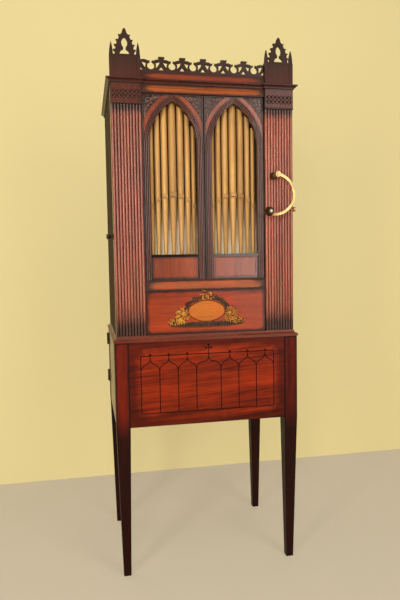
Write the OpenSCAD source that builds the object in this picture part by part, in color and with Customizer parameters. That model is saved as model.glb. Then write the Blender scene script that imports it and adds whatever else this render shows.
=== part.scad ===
// Chamber barrel organ in the Gothic taste: a hand-cranked domestic pipe organ.
// A tall mahogany case with two lancet pipe fronts stands on a boxed stand with four tapered legs.
// Millimetres, +Z up, front towards -Y, origin on the floor under the middle of the overall box.

/* [Stand] */
// Width of the stand over its top moulding
stand_w = 630; // [600:2:680]
// Depth of the stand
stand_d = 480; // [420:5:540]
// Height of the stand, floor to the top of its moulding
stand_h = 812; // [780:2:860]
// Height of the enclosed box under the moulding
box_h = 283; // [240:1:320]
// Width of a leg where it leaves the box
leg_w = 46; // [40:1:56]
// Width of a leg at the foot
leg_foot = 24.5; // [20:0.5:32]
// Thickness of the panels between the legs
panel_t = 18; // [12:1:24]
// How far the panels are set back from the legs' faces
panel_set = 1.5; // [0.5:0.5:6]
// Height of the moulding round the stand's top
stand_mould_h = 20; // [14:1:28]
// How far that moulding stands out from the box
stand_lip = 3; // [1:0.5:8]

/* [Case] */
// How far the upper case stands in from each end of the stand's top
case_in = 11; // [8:0.5:16]
// Height of the upper case up to the cornice
case_h = 811; // [780:1:860]
// How far the case stands back from the stand's front edge
case_set = 12; // [8:1:20]
// Thickness of the case's side and back boards
wall_t = 16; // [10:1:20]
// Width of a pilaster
pilaster_w = 98; // [90:1:106]
// Thickness of a pilaster, to the crowns of its reeds
pilaster_t = 28; // [22:1:34]
// Number of reeds on a pilaster
reeds = 10; // [6:1:12]
// Height of the frieze block above a pilaster
frieze_h = 67; // [62:1:80]
// Height of the blind fret on a frieze block
blind_h = 28; // [24:1:32]
// Pitch of the interlaced rings in that fret
blind_pitch = 14; // [12:0.5:16]

/* [Arched front] */
// How far the arched frames lie behind the pilasters' faces
frame_set = 14; // [10:1:18]
// Thickness of the arched frames
frame_t = 14; // [10:1:18]
// Gap round each arched frame
frame_gap = 1.5; // [0.5:0.5:3]
// Height of the inlaid panel at the foot of the case
base_panel_h = 145; // [130:1:160]
// Width of the oval plate let into that panel
oval_w = 127; // [110:1:140]
// Height of the oval plate
oval_h = 74; // [66:1:80]
// Height of the rail above that panel
rail_h = 36; // [30:1:42]
// Height from that rail to the sill of the openings
sill_h = 84; // [76:1:96]
// Height of the straight sides of an opening, sill to springing
spring_h = 358; // [336:2:358]
// Width of the plain edge of an arched frame, outside its moulding
stile_w = 6; // [5:0.5:12]
// How far each arc is struck past the middle of the opening
arc_shift = 82; // [70:1:95]
// Width of the beaded moulding round an opening
mould_w = 18; // [16:1:22]
// How far that moulding stands out
mould_t = 6; // [4:0.5:8]

/* [Pipes] */
// Diameter of the middle pipe of each arch
pipe_d = 24.5; // [20:0.5:26]
// How much each next pipe outwards is thinner
pipe_step = 3.3; // [2:0.1:3.6]
// Gap between neighbouring pipes
pipe_gap = 4; // [3:0.5:6]
// How far the pipes run up behind the arch's edge
pipe_hidden = 15; // [8:1:18]
// Height of the middle pipe's mouth above the pipe ledge
mouth_h = 192; // [180:1:215]
// How much lower each next pipe's mouth lies, times its place squared
mouth_drop = 3.4; // [2:0.2:5]
// Diameter of a pipe's toe
toe_d = 12.5; // [8:0.5:14]
// Thickness of the board behind the pipes
backing_t = 8; // [5:1:12]

/* [Cornice and crest] */
// Height of the cornice
cornice_h = 13; // [11:1:18]
// How far the cornice stands out from the frieze blocks
cornice_out = 13; // [10:1:18]
// Height of the plain blocks on the cornice
pedestal_h = 71; // [60:1:80]
// Thickness of those blocks
pedestal_t = 18; // [14:1:22]
// Height of the plinth board under the crest
plinth_h = 24; // [18:1:30]
// Height of the crest
crest_h = 50; // [46:1:54]
// Thickness of the pierced crest and pinnacles
fret_t = 9; // [7:1:12]
// Distance aimed at between the crest's poppyheads
crest_pitch = 69; // [62:1:76]
// Radius of the crest's round openings
ring_r = 11.5; // [9:0.5:13]
// Height of a pinnacle above its block
pinnacle_h = 84; // [78:1:92]
// Width of a pinnacle's gable at its foot
gable_w = 62; // [56:1:64]
// Width of the spikes beside it, and of the strips under them
spike_w = 12; // [9:0.5:14]

/* [Crank] */
// Distance from the pilaster's middle line in to the crank's shaft
crank_in = 21; // [14:1:26]
// Height of the shaft above the stand's top
crank_h = 523; // [480:1:560]
// Distance from the shaft to the knob's spindle
crank_r = 130.5; // [115:0.5:145]
// Angle at which the crank hangs, to the left of straight down
crank_hang = 18.4; // [0:0.2:30]
// Radius of the bow in the crank's arm
bow_r = 66; // [66:0.5:75]
// Width of the arm
arm_w = 8.6; // [7:0.2:10]
// Thickness of the arm
arm_t = 7; // [5:0.5:9]
// Distance from the pilaster's face to the middle of the arm
crank_out = 47; // [40:1:56]
// Diameter of the crank's shaft
shaft_d = 12; // [9:0.5:14]
// Diameter of the turned knob
knob_d = 31; // [28:0.5:36]
// Length of the turned knob
knob_l = 44; // [38:1:52]
// Diameter of the knob's spindle
spindle_d = 7; // [5:0.5:8]

/* [Stops] */
// Height of the left stop above the stand's top
stop_left_h = 327; // [300:1:360]
// Height of the right stop above the stand's top
stop_right_h = 416; // [380:1:450]
// How far a stop's knob stands out from the case
stop_out = 22; // [22:1:30]
// Diameter of a stop's rod
rod_d = 8; // [6:0.5:10]
// Distance from the pilaster's back to a rod's middle line
rod_in = 12; // [10:1:18]

/* [Rear door] */
// Thickness of the door over the back of the stand
door_t = 12; // [10:1:18]
// Diameter of a hinge's knuckle
knuckle_d = 7; // [5:0.5:9]
// Length of a hinge
hinge_l = 46; // [36:1:60]

/* [Hidden] */
$fn = 64;

mahogany = "#8a3d22";
dark_mahogany = "#4a2018";
gilt = "#c39a4b";
brass = "#d8c38a";
black_wood = "#241812";
satinwood = "#caa063";
cream = "#e6d9b4";
reach = 2000;

fit = 0.05;
seat = 0.3;
hairline = 0.05;

box_w = stand_w - 2 * stand_lip;
box_top = stand_h - stand_mould_h;
box_z = box_top - box_h;
leg_in_x = (leg_w - leg_foot) * 0.58;
front_y = stand_lip;
legs_back = stand_d - door_t;
floor_t = 12;
bead_r = 2.5;

case_w = stand_w - 2 * case_in;
case_top = stand_h + case_h;
pilaster_x = case_w / 2 - pilaster_w / 2;
bay_w = case_w - 2 * pilaster_w;
pilaster_back = case_set + pilaster_t;
pilaster_h = case_h - frieze_h;
reed_r = pilaster_w / reeds / 2;
frame_y = case_set + frame_set;
frame_back = frame_y + frame_t;
inner_w = case_w - 2 * wall_t;

rail_z = stand_h + base_panel_h;
frame_z = rail_z + rail_h;
sill_z = frame_z + sill_h;
spring_z = sill_z + spring_h;
arch_x = bay_w / 4;
opening_w = bay_w / 2 - 2 * (mould_w + stile_w);
rail_y = frame_y - 4;
fascia_y = frame_y - 8;
fascia_h = 27;
frame_top = case_top - fascia_h;
outer_r = opening_w / 2 + arc_shift + mould_w;

ledge_drop = 3;
ledge_t = 16;
ledge_z = sill_z - ledge_drop;
pipe_y = frame_back + 3 + pipe_d / 2;
backing_y = pipe_y + pipe_d / 2 + 18;
crest_units = round(bay_w / crest_pitch);

cornice_top = case_top + cornice_h;
cornice_back = pilaster_back + 8;
block_y = case_set - 2;
pedestal_top = cornice_top + pedestal_h;
crest_z = cornice_top + plinth_h;
fret_y = case_set + 1;
strip_t = 1.5;
crest_y = case_set + 8;

crank_x = pilaster_x - crank_in;
crank_z = stand_h + crank_h;
arm_y = case_set - crank_out;
knob_x = crank_x - crank_r * sin(crank_hang);
knob_z = crank_z - crank_r * cos(crank_hang);
knob_y = arm_y - arm_t / 2 - 3;
spindle_head = 3;
tip_y = knob_y - knob_l - seat - spindle_head;

rod_y = pilaster_back + rod_in;
stop_x = case_w / 2;

// The middle of the overall box, counted from the stand's front edge
mid_y = (stand_d + tip_y) / 2;

// Moves a piece from the stand's front edge to the overall box's middle.
module from_front() { translate([0, -mid_y, 0]) children(); }

// Stands an outline drawn in x and z upright, its front face at y and t thick.
module upright(y, t) {
  translate([0, y + t, 0]) rotate([90, 0, 0]) linear_extrude(t) children();
}

// Runs an outline drawn in y and z along x from x0 to x1.
module along_x(x0, x1) {
  translate([x0, 0, 0]) rotate([90, 0, 90]) linear_extrude(x1 - x0) children();
}

module both_sides() {
  children();
  mirror([1, 0, 0]) children();
}

// Pointed arch with straight sides, standing on z = 0, with its springing at height h.
module lancet(half, h, shift) {
  translate([-half, 0]) square([2 * half, h]);
  translate([0, h]) intersection() {
    translate([-shift, 0]) circle(half + shift);
    translate([shift, 0]) circle(half + shift);
    translate([-half, 0]) square([2 * half, half + shift]);
  }
}

// Oval of two end arcs and two long arcs that meet without a corner.
module oval(w, h) {
  end_r = h * 0.32;
  a = w / 2 - end_r;
  long_r = (a * a + h * h / 4 - end_r * end_r) / (h - 2 * end_r);
  drop = long_r - h / 2;
  meet = a + end_r * a / (long_r - end_r);
  translate([a, 0]) circle(end_r);
  translate([-a, 0]) circle(end_r);
  intersection() {
    translate([0, drop]) circle(long_r);
    translate([0, -drop]) circle(long_r);
    translate([-meet, -h / 2]) square([2 * meet, h]);
  }
}

// Square post that tapers from the box down to the foot, more on the outside faces.
module leg() {
  face = [
    [0, box_top], [0, box_z], [leg_in_x, 0], [leg_in_x + leg_foot, 0], [leg_w, box_z], [leg_w, box_top]
  ];
  intersection() {
    translate([0, leg_w, 0]) rotate([90, 0, 0]) linear_extrude(leg_w) polygon(face);
    rotate([90, 0, 90]) linear_extrude(leg_w) polygon(face);
  }
}

module leg_front_left() color(dark_mahogany) from_front()
  translate([-box_w / 2, front_y, 0]) leg();

module leg_front_right() color(dark_mahogany) from_front()
  mirror([1, 0, 0]) translate([-box_w / 2, front_y, 0]) leg();

module leg_rear_left() color(dark_mahogany) from_front()
  translate([-box_w / 2, legs_back, 0]) mirror([0, 1, 0]) leg();

module leg_rear_right() color(dark_mahogany) from_front()
  mirror([1, 0, 0]) translate([-box_w / 2, legs_back, 0]) mirror([0, 1, 0]) leg();

module side_panel() {
  translate([box_w / 2 - panel_set - panel_t, front_y + leg_w, box_z])
    cube([panel_t, legs_back - front_y - 2 * leg_w, box_h]);
}

module stand_front_panel() color(mahogany) from_front()
  translate([-box_w / 2 + leg_w, front_y + panel_set, box_z]) cube([box_w - 2 * leg_w, panel_t, box_h]);

// Door over the whole back of the box, for access to the bellows.
module stand_back_door() color(dark_mahogany) from_front()
  translate([-box_w / 2, legs_back, box_z]) cube([box_w, door_t, box_h - seat]);

module stand_side_left() color(mahogany) from_front() mirror([1, 0, 0]) side_panel();

module stand_side_right() color(mahogany) from_front() side_panel();

// Board that closes the box from below, between the legs.
module stand_floor() color(dark_mahogany) from_front() {
  w = box_w - 2 * leg_w;
  y0 = front_y + panel_set + panel_t;
  translate([-w / 2, y0, box_z]) cube([w, legs_back - y0, floor_t]);
}

// Section of the stand's moulding: a fillet with a hollow over it, rising inwards from the edge.
module stand_edge() {
  lip = 4;
  inset = case_set - 1;
  difference() {
    square([inset + 1, stand_mould_h]);
    translate([0, stand_mould_h]) circle(min(stand_mould_h - lip, inset));
    translate([-1, stand_mould_h]) square([inset + 2, 1]);
  }
}

// Top board of the stand, with that moulding along the front and the sides.
module stand_top() color(dark_mahogany) from_front() {
  inset = case_set - 1;
  intersection() {
    translate([0, 0, box_top]) along_x(-stand_w / 2, stand_w / 2) {
      stand_edge();
      translate([inset, 0]) square([stand_d - inset, stand_mould_h]);
    }
    translate([0, stand_d, box_top]) rotate([90, 0, 0]) linear_extrude(stand_d) {
      translate([-stand_w / 2, 0]) stand_edge();
      mirror([1, 0]) translate([-stand_w / 2, 0]) stand_edge();
      translate([-stand_w / 2 + inset, 0]) square([stand_w - 2 * inset, stand_mould_h]);
    }
  }
}

// Two hinges on the left rear corner, where the door meets the post.
module back_hinges() color(brass) from_front() {
  leaf_t = 1.5;
  leaf_w = 16;
  from_top = 22;
  from_foot = 66;
  for (z = [box_top - from_top - hinge_l, box_z + from_foot])
    translate([-box_w / 2, legs_back, z]) {
      translate([-leaf_t, -leaf_w, 0]) cube([leaf_t, leaf_w + door_t - 1, hinge_l]);
      translate([-knuckle_d / 2 - seat, 0, 0]) cylinder(h = hinge_l, d = knuckle_d);
    }
}

module side_board() {
  difference() {
    translate([case_w / 2 - wall_t, pilaster_back, stand_h])
      cube([wall_t, stand_d - pilaster_back, case_h]);
    children();
  }
}

module rod_hole(h) {
  translate([0, rod_y, stand_h + h]) rotate([0, 90, 0]) cylinder(h = reach, r = rod_d / 2 + fit);
}

module case_side_left() color(mahogany) from_front() mirror([1, 0, 0]) side_board() rod_hole(stop_left_h);

module case_side_right() color(mahogany) from_front() side_board() rod_hole(stop_right_h);

module case_back() color(dark_mahogany) from_front()
  translate([-inner_w / 2, stand_d - wall_t, stand_h]) cube([inner_w, wall_t, case_h]);

// Board that closes the case from above, let in between the cornice's three sides.
module roof_board() color(dark_mahogany) from_front()
  translate([-inner_w / 2, cornice_back, case_top]) cube([inner_w, stand_d - cornice_back, cornice_h - 1]);

// Reeded pilaster, standing between x = -w/2 and w/2.
module pilaster() {
  translate([0, 0, stand_h]) linear_extrude(pilaster_h) {
    translate([-pilaster_w / 2, case_set + reed_r]) square([pilaster_w, pilaster_t - reed_r]);
    for (i = [0 : reeds - 1])
      translate([-pilaster_w / 2 + (2 * i + 1) * reed_r, case_set + reed_r]) circle(reed_r);
  }
}

module pilaster_left() color(mahogany) from_front() translate([-pilaster_x, 0, 0]) pilaster();

module pilaster_right() color(mahogany) from_front() difference() {
  translate([pilaster_x, 0, 0]) pilaster();
  translate([crank_x, case_set - 1, crank_z]) rotate([-90, 0, 0])
    cylinder(h = pilaster_t + 2, r = shaft_d / 2 + fit);
}

// Flat ring of outer radius r.
module ring(r, rib) {
  difference() {
    circle(r);
    circle(r - rib);
  }
}

// Frieze block over a pilaster: a bead at its foot, and a blind fret of two rows of rings in a sunk panel.
module frieze_block() {
  foot = case_top - frieze_h;
  ground = 5;
  rib = 2.8;
  row_r = blind_h / 4;
  panel_w = pilaster_w - 12;
  panel_z = case_top - 22 - blind_h / 2;
  rings = floor(panel_w / 2 / blind_pitch);
  difference() {
    translate([-pilaster_w / 2, block_y, foot]) cube([pilaster_w, pilaster_back - block_y, frieze_h]);
    upright(block_y - 1, ground + 1) translate([0, panel_z]) difference() {
      square([panel_w, blind_h], center = true);
      for (i = [-rings : rings], z = [-row_r, row_r]) translate([i * blind_pitch, z]) ring(row_r + 0.5, rib);
    }
  }
  along_x(-pilaster_w / 2, pilaster_w / 2) translate([block_y, foot + bead_r]) circle(bead_r);
}

module frieze_left() color(mahogany) from_front() translate([-pilaster_x, 0, 0]) frieze_block();

module frieze_right() color(mahogany) from_front() translate([pilaster_x, 0, 0]) frieze_block();

// Board with a lancet opening, with sunk grounds for the carving in its two top corners.
module arch_frame() {
  w = bay_w / 2 - 2 * frame_gap;
  ground = 3;
  fillet = 14;
  rim = 4;
  difference() {
    upright(frame_y, frame_t) difference() {
      translate([-w / 2, frame_z]) square([w, frame_top - frame_z]);
      translate([0, sill_z]) lancet(opening_w / 2, spring_h, arc_shift);
    }
    upright(frame_y - 1, ground + 1) difference() {
      translate([-w / 2 + rim, spring_z]) square([w - 2 * rim, frame_top - spring_z - rim]);
      translate([0, sill_z]) lancet(opening_w / 2 + mould_w + fillet, spring_h, arc_shift);
    }
  }
}

module arch_frame_left() color(mahogany) from_front() translate([-arch_x, 0, 0]) arch_frame();

module arch_frame_right() color(mahogany) from_front() translate([arch_x, 0, 0]) arch_frame();

// Section of the arch moulding: three beads on a flat, running outwards from the opening's edge.
module beads() {
  r = mould_w / 8;
  flat = mould_t - r;
  edge = 1;
  square([mould_w, flat]);
  for (i = [0 : 2]) translate([edge + r + i * (mould_w / 2 - edge - r), flat]) circle(r);
}

// Half of the moulding round an opening: an upright run, and an arc cut off at the springing and the mitre.
module half_moulding() {
  half = opening_w / 2;
  sweep = acos(arc_shift / outer_r) + 1;
  translate([0, frame_y, 0]) {
    intersection() {
      translate([arc_shift, 0, spring_z]) rotate([90, 0, 0]) rotate([0, 0, 180 - sweep])
        rotate_extrude(angle = sweep) translate([half + arc_shift, 0]) beads();
      translate([-outer_r - hairline, -mould_t * 2, spring_z + hairline])
        cube([outer_r, mould_t * 4, outer_r]);
    }
    translate([-half, 0, frame_z]) mirror([1, 0, 0])
      linear_extrude(spring_z - frame_z) mirror([0, 1]) beads();
  }
}

// Moulding of five lengths with hairline joints: two runs, two arcs and the sill.
module arch_moulding() {
  sill_h = 9;
  sill_t = 3.6;
  half = opening_w / 2 - hairline;
  both_sides() half_moulding();
  upright(frame_y - sill_t, sill_t) translate([-half, sill_z - sill_h]) square([2 * half, sill_h]);
}

module arch_moulding_left() color(dark_mahogany) from_front() translate([-arch_x, 0, 0]) arch_moulding();

module arch_moulding_right() color(dark_mahogany) from_front() translate([arch_x, 0, 0]) arch_moulding();

// Plain strip between the arches and the cornice, with a bead along its top.
module fascia() color(mahogany) from_front() {
  bead_drop = 9;
  along_x(-bay_w / 2, bay_w / 2) {
    translate([fascia_y, frame_top]) square([frame_back - fascia_y, fascia_h]);
    translate([fascia_y, case_top - bead_drop]) circle(bead_r);
  }
}

// Rail between the arched frames and the inlaid panel, with a bead along each edge.
module waist_rail() color(mahogany) from_front() {
  along_x(-bay_w / 2, bay_w / 2) {
    translate([rail_y, rail_z]) square([frame_back - rail_y, rail_h]);
    for (z = [rail_z + bead_r, frame_z - bead_r]) translate([rail_y, z]) circle(bead_r);
  }
}

module base_panel() color(mahogany) from_front()
  translate([-bay_w / 2, rail_y, stand_h]) cube([bay_w, frame_back - rail_y, base_panel_h]);

// Plain oval of pale wood on the middle of the panel at the foot of the case.
module oval_plate() color(satinwood) from_front() {
  plate_t = 0.6;
  upright(rail_y - plate_t, plate_t) translate([0, stand_h + base_panel_h / 2 + 2]) oval(oval_w, oval_h);
}

module pipe_backing() color(cream) from_front()
  translate([-inner_w / 2, backing_y, ledge_z]) cube([inner_w, backing_t, frame_top - ledge_z]);

module pipe_ledge() color(dark_mahogany) from_front()
  translate([-inner_w / 2, frame_back, ledge_z - ledge_t])
    cube([inner_w, backing_y + backing_t - frame_back, ledge_t]);

function pipe_r(i) = (pipe_d - i * pipe_step) / 2;

// Distance from the middle pipe out to the pipe i places away
function pipe_x(i) = i == 0 ? 0 : pipe_x(i - 1) + pipe_r(i - 1) + pipe_r(i) + pipe_gap;

// Height of the arch's edge above the springing, x away from the middle of the opening
function arch_rise(x) = sqrt(max(0, pow(opening_w / 2 + arc_shift, 2) - pow(x + arc_shift, 2)));

// Upright pipe on the ledge: a cone from the toe up to the mouth, then a straight body.
// The mouth is a raised square frame with a sunk field and a slot along its lower edge.
module pipe(i) {
  r = pipe_r(i);
  mouth = mouth_h - mouth_drop * i * i;
  top = spring_z + arch_rise(pipe_x(i)) + pipe_hidden - ledge_z;
  frame_w = r * 1.6;
  frame_h = r * 1.35;
  rim = r * 0.14;
  proud = 1.6;
  field_w = frame_w - 2 * rim;
  front = -r - proud;
  difference() {
    union() {
      rotate_extrude() polygon([
        [0, 0], [toe_d / 2, 0], [r, mouth - 3], [r, top], [0, top]
      ]);
      translate([-frame_w / 2, front, mouth]) cube([frame_w, r + proud, frame_h]);
    }
    translate([-field_w / 2, front - 1, mouth + rim]) cube([field_w, proud + 1.4, frame_h - 2 * rim]);
    translate([-field_w / 2, front - 1, mouth + rim]) cube([field_w, r * 0.6, frame_h * 0.22]);
  }
}

module pipe_row() {
  translate([0, pipe_y, ledge_z]) {
    pipe(0);
    for (i = [1 : 3]) both_sides() translate([pipe_x(i), 0, 0]) pipe(i);
  }
}

module pipes_left() color(gilt) from_front() translate([-arch_x, 0, 0]) pipe_row();

module pipes_right() color(gilt) from_front() translate([arch_x, 0, 0]) pipe_row();

// Cornice section: a fillet on a hollow, drawn outwards from its inner edge at d.
module cornice_edge(d) {
  fillet = 4;
  drop = cornice_h - fillet;
  hollow_r = min(drop, cornice_out);
  difference() {
    square([d + cornice_out, cornice_h]);
    translate([d + cornice_out, 0]) circle(hollow_r);
  }
}

// Slab with the cornice section on its front and both sides, from x0 to x1, flush at the back.
module cornice_slab(x0, x1, y0) {
  deep = stand_d - y0;
  intersection() {
    translate([0, 0, case_top]) along_x(x0 - cornice_out, x1 + cornice_out)
      mirror([1, 0]) translate([-stand_d, 0]) cornice_edge(deep);
    translate([(x0 + x1) / 2, stand_d, case_top]) rotate([90, 0, 0]) linear_extrude(deep + cornice_out)
      both_sides() cornice_edge((x1 - x0) / 2);
  }
}

// Cornice round the front and sides, breaking forward over the two pilasters.
module cornice() color(dark_mahogany) from_front() difference() {
  union() {
    both_sides() cornice_slab(case_w / 2 - pilaster_w, case_w / 2, block_y);
    cornice_slab(-bay_w / 2, bay_w / 2, frame_y - 8);
  }
  translate([-inner_w / 2, cornice_back, case_top - 1])
    cube([inner_w, stand_d, cornice_h + 2]);
}

module plinth_board() color(mahogany) from_front() {
  plinth_t = 16;
  translate([-bay_w / 2, crest_y - 3, cornice_top]) cube([bay_w, plinth_t, plinth_h]);
}

// Leaf between two arcs, with its points at a and b.
module leaf(a, b, w) {
  l = norm(b - a);
  r = (l * l + w * w) / (4 * w);
  translate((a + b) / 2) rotate(atan2(b[1] - a[1], b[0] - a[0])) intersection() {
    translate([0, r - w / 2]) circle(r);
    translate([0, w / 2 - r]) circle(r);
  }
}

// Lower half of a ring struck from height z, with its middle line at radius r.
module hanging_bow(r, z, rib) {
  intersection() {
    translate([0, z]) ring(r + rib / 2, rib);
    translate([-r - rib, 0]) square([2 * (r + rib), z]);
  }
}

// Waisted neck under a flat cap.
module poppyhead(foot) {
  cap_w = 20;
  cap_h = 5;
  neck_w = 15;
  waist = (cap_w - neck_w) / 2 + 1;
  difference() {
    translate([-cap_w / 2, foot]) square([cap_w, crest_h - foot]);
    both_sides() translate([neck_w / 2 + waist, crest_h - cap_h - waist]) circle(waist);
    both_sides() translate([neck_w / 2 + 1, foot - 1]) square([cap_w, crest_h - cap_h - waist - foot + 1]);
  }
}

// One length of the crest: a ring open at the top stands in a hanging bow, with a leaf to each side.
module crest_unit(pitch) {
  bow_rib = 10;
  ring_rib = 5.5;
  leaf_t = 8.5;
  foot = 5;
  bow_z = pitch / 2 + foot;
  ring_z = foot + bow_rib / 2 + ring_r;
  gap_w = ring_r * 0.6;
  hanging_bow(pitch / 2, bow_z, bow_rib);
  difference() {
    translate([0, ring_z]) ring(ring_r + ring_rib, ring_rib);
    translate([-gap_w / 2, ring_z]) square([gap_w, 2 * ring_r]);
  }
  both_sides() leaf([gap_w / 2 - 0.5, ring_z + ring_r], [pitch / 2, bow_z], leaf_t);
}

// Pierced crest, with a poppyhead where each two bows meet.
module crest() color(dark_mahogany) from_front() {
  pitch = bay_w / crest_units;
  strip = 8;
  translate([0, 0, crest_z]) upright(crest_y, fret_t) intersection() {
    translate([-bay_w / 2, 0]) square([bay_w, crest_h]);
    union() {
      translate([-bay_w / 2, 0]) square([bay_w, strip]);
      for (i = [0.5 : crest_units - 0.5]) translate([-bay_w / 2 + i * pitch, 0]) crest_unit(pitch);
      for (i = [1 : crest_units - 1]) translate([-bay_w / 2 + i * pitch, 0]) poppyhead(pitch / 2);
    }
  }
}

// Plain block with a raised strip up each side.
module pedestal() {
  translate([-pilaster_w / 2, case_set, cornice_top]) {
    cube([pilaster_w, pedestal_t, pedestal_h]);
    for (x = [0, pilaster_w - spike_w]) translate([x, -strip_t, 0]) cube([spike_w, strip_t + 1, pedestal_h]);
  }
}

module pedestal_left() color(dark_mahogany) from_front() translate([-pilaster_x, 0, 0]) pedestal();

module pedestal_right() color(dark_mahogany) from_front() translate([pilaster_x, 0, 0]) pedestal();

// Opening of a pinnacle: a pointed light over a waist and a half-round foot.
module pinnacle_light() {
  foot = 4;
  foot_r = 15;
  waist_w = 8;
  light_z = foot + foot_r + 2;
  translate([-waist_w / 2, foot]) square([waist_w, foot_r + 8]);
  translate([0, foot]) intersection() {
    circle(foot_r);
    translate([-foot_r, 0]) square([2 * foot_r, foot_r]);
  }
  leaf([0, light_z], [0, pinnacle_h * 0.66], 19);
}

// Radius of the two arcs of a point that is w wide at its foot and h high
function point_r(w, h) = (w * w / 4 + h * h) / w;

// Upright point between two arcs.
module point(w, h) {
  r = point_r(w, h);
  intersection() {
    translate([w / 2 - r, 0]) circle(r);
    translate([r - w / 2, 0]) circle(r);
    translate([-w / 2, 0]) square([w, h]);
  }
}

// Pierced gable between two spikes, with four crockets up each edge and a knop on top.
module pinnacle() {
  knop_w = 13.5;
  knop_h = 13;
  sill_h = 3;
  crocket_out = 6.5;
  gable_h = pinnacle_h * 0.93;
  r = point_r(gable_w, gable_h);
  translate([0, 0, pedestal_top]) upright(fret_y, fret_t) {
    difference() {
      union() {
        point(gable_w, gable_h);
        translate([0, pinnacle_h - knop_h]) point(knop_w, knop_h);
        for (z = [0.2, 0.38, 0.56, 0.74] * pinnacle_h, s = [-1, 1]) {
          edge = gable_w / 2 - r + sqrt(r * r - z * z);
          leaf([s * (edge - crocket_out), z - crocket_out], [s * (edge + crocket_out), z + 1], crocket_out);
        }
      }
      pinnacle_light();
    }
    translate([-pilaster_w / 2, 0]) square([pilaster_w, sill_h]);
    for (s = [-1, 1]) translate([s * (pilaster_w - spike_w - 1) / 2, 0]) point(spike_w, pinnacle_h / 2);
  }
}

module pinnacle_left() color(dark_mahogany) from_front() translate([-pilaster_x, 0, 0]) pinnacle();

module pinnacle_right() color(dark_mahogany) from_front() translate([pilaster_x, 0, 0]) pinnacle();

// Turns a round piece drawn up z so that it points towards the front, from y forwards.
module forwards(x, y, z) { translate([x, y, z]) rotate([90, 0, 0]) children(); }

module crank_escutcheon() color(brass) from_front()
  forwards(crank_x, case_set, crank_z) difference() {
    union() {
      cylinder(h = 2, d = shaft_d * 2.1);
      cylinder(h = 5, d = shaft_d * 1.6);
    }
    translate([0, 0, -1]) cylinder(h = 8, r = shaft_d / 2 + fit);
  }

// Bowed brass arm with its shaft; the bow's centre lies where both bosses are bow_r away.
module crank_arm() color(brass) from_front() {
  half = crank_r / 2;
  off = sqrt(bow_r * bow_r - half * half);
  up = 90 - crank_hang;
  mid = [crank_x - half * sin(crank_hang), crank_z - half * cos(crank_hang)];
  centre = mid + off * [cos(crank_hang), -sin(crank_hang)];
  to_shaft = atan2(crank_z - centre[1], crank_x - centre[0]);
  to_knob = atan2(knob_z - centre[1], knob_x - centre[0]);
  sweep = to_shaft - to_knob;
  forwards(centre[0], arm_y, centre[1]) rotate([0, 0, to_knob]) rotate_extrude(angle = sweep)
    translate([bow_r - arm_w / 2, -arm_t / 2]) square([arm_w, arm_t]);
  forwards(crank_x, arm_y + arm_t / 2 + 1, crank_z) cylinder(h = arm_t + 3, d = shaft_d * 1.55);
  forwards(crank_x, arm_y - arm_t / 2 - 1, crank_z) cylinder(h = 4, d = shaft_d * 0.8);
  forwards(crank_x, pilaster_back + 30, crank_z) cylinder(h = pilaster_back + 30 - arm_y, d = shaft_d);
  forwards(knob_x, arm_y + arm_t / 2 + 0.5, knob_z) cylinder(h = arm_t + 0.8, d = arm_w * 1.6);
}

// Fixed spindle of the knob, riveted into the arm, with a round head that keeps the knob on.
module knob_spindle() color(brass) from_front() {
  start = arm_y - arm_t / 2 - 0.3;
  forwards(knob_x, start, knob_z) cylinder(h = start - knob_y + knob_l + seat, d = spindle_d);
  forwards(knob_x, knob_y - knob_l - seat, knob_z)
    cylinder(h = spindle_head, d1 = spindle_d * 1.5, d2 = spindle_d);
}

// Half outline of the turned knob: a collar, a short neck and a belly between two equal ends.
module knob_outline() {
  collar_r = spindle_d / 2 + 6;
  end_r = spindle_d / 2 + 4;
  neck_l = 8;
  collar_l = 3.5;
  half = (knob_l - neck_l) / 2;
  swell = knob_d / 2 - end_r;
  belly_r = (half * half + swell * swell) / (2 * swell);
  square([collar_r, collar_l]);
  square([end_r - 1, knob_l]);
  intersection() {
    translate([0, neck_l]) square([knob_d / 2, knob_l - neck_l]);
    translate([knob_d / 2 - belly_r, neck_l + half]) circle(belly_r);
  }
}

// Turned knob that spins on its spindle.
module crank_knob() color(black_wood) from_front()
  forwards(knob_x, knob_y, knob_z) difference() {
    rotate_extrude() knob_outline();
    translate([0, 0, -1]) cylinder(h = knob_l + 2, r = spindle_d / 2 + fit);
  }

// Half outline of a stop knob: a waisted neck that flares out to a flat face.
module stop_outline(l) {
  neck_r = rod_d * 0.56;
  face_r = rod_d;
  rim = 3;
  hollow = l - rim;
  difference() {
    square([face_r, l]);
    translate([neck_r + hollow, 0]) circle(hollow);
    translate([rod_d * 0.7, -1]) square([face_r, hollow / 2]);
  }
}

// Stop knob on its rod, pointing out along +x from the case's side.
module stop(h) {
  rod_l = 70;
  stand_off = 5;
  translate([stop_x, rod_y, stand_h + h]) rotate([0, 90, 0]) {
    translate([0, 0, stand_off + 1 - rod_l]) cylinder(h = rod_l, d = rod_d);
    translate([0, 0, stand_off]) rotate_extrude() stop_outline(stop_out - stand_off);
  }
}

module stop_left() color(black_wood) from_front() mirror([1, 0, 0]) stop(stop_left_h);

module stop_right() color(brass) from_front() stop(stop_right_h);

module stop_ring(h) {
  translate([stop_x, rod_y, stand_h + h]) rotate([0, 90, 0]) difference() {
    cylinder(h = 3, d = rod_d * 2.6);
    translate([0, 0, -1]) cylinder(h = 5, r = rod_d / 2 + fit);
  }
}

module stop_escutcheons() color(brass) from_front() {
  stop_ring(stop_right_h);
  mirror([1, 0, 0]) stop_ring(stop_left_h);
}

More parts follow.
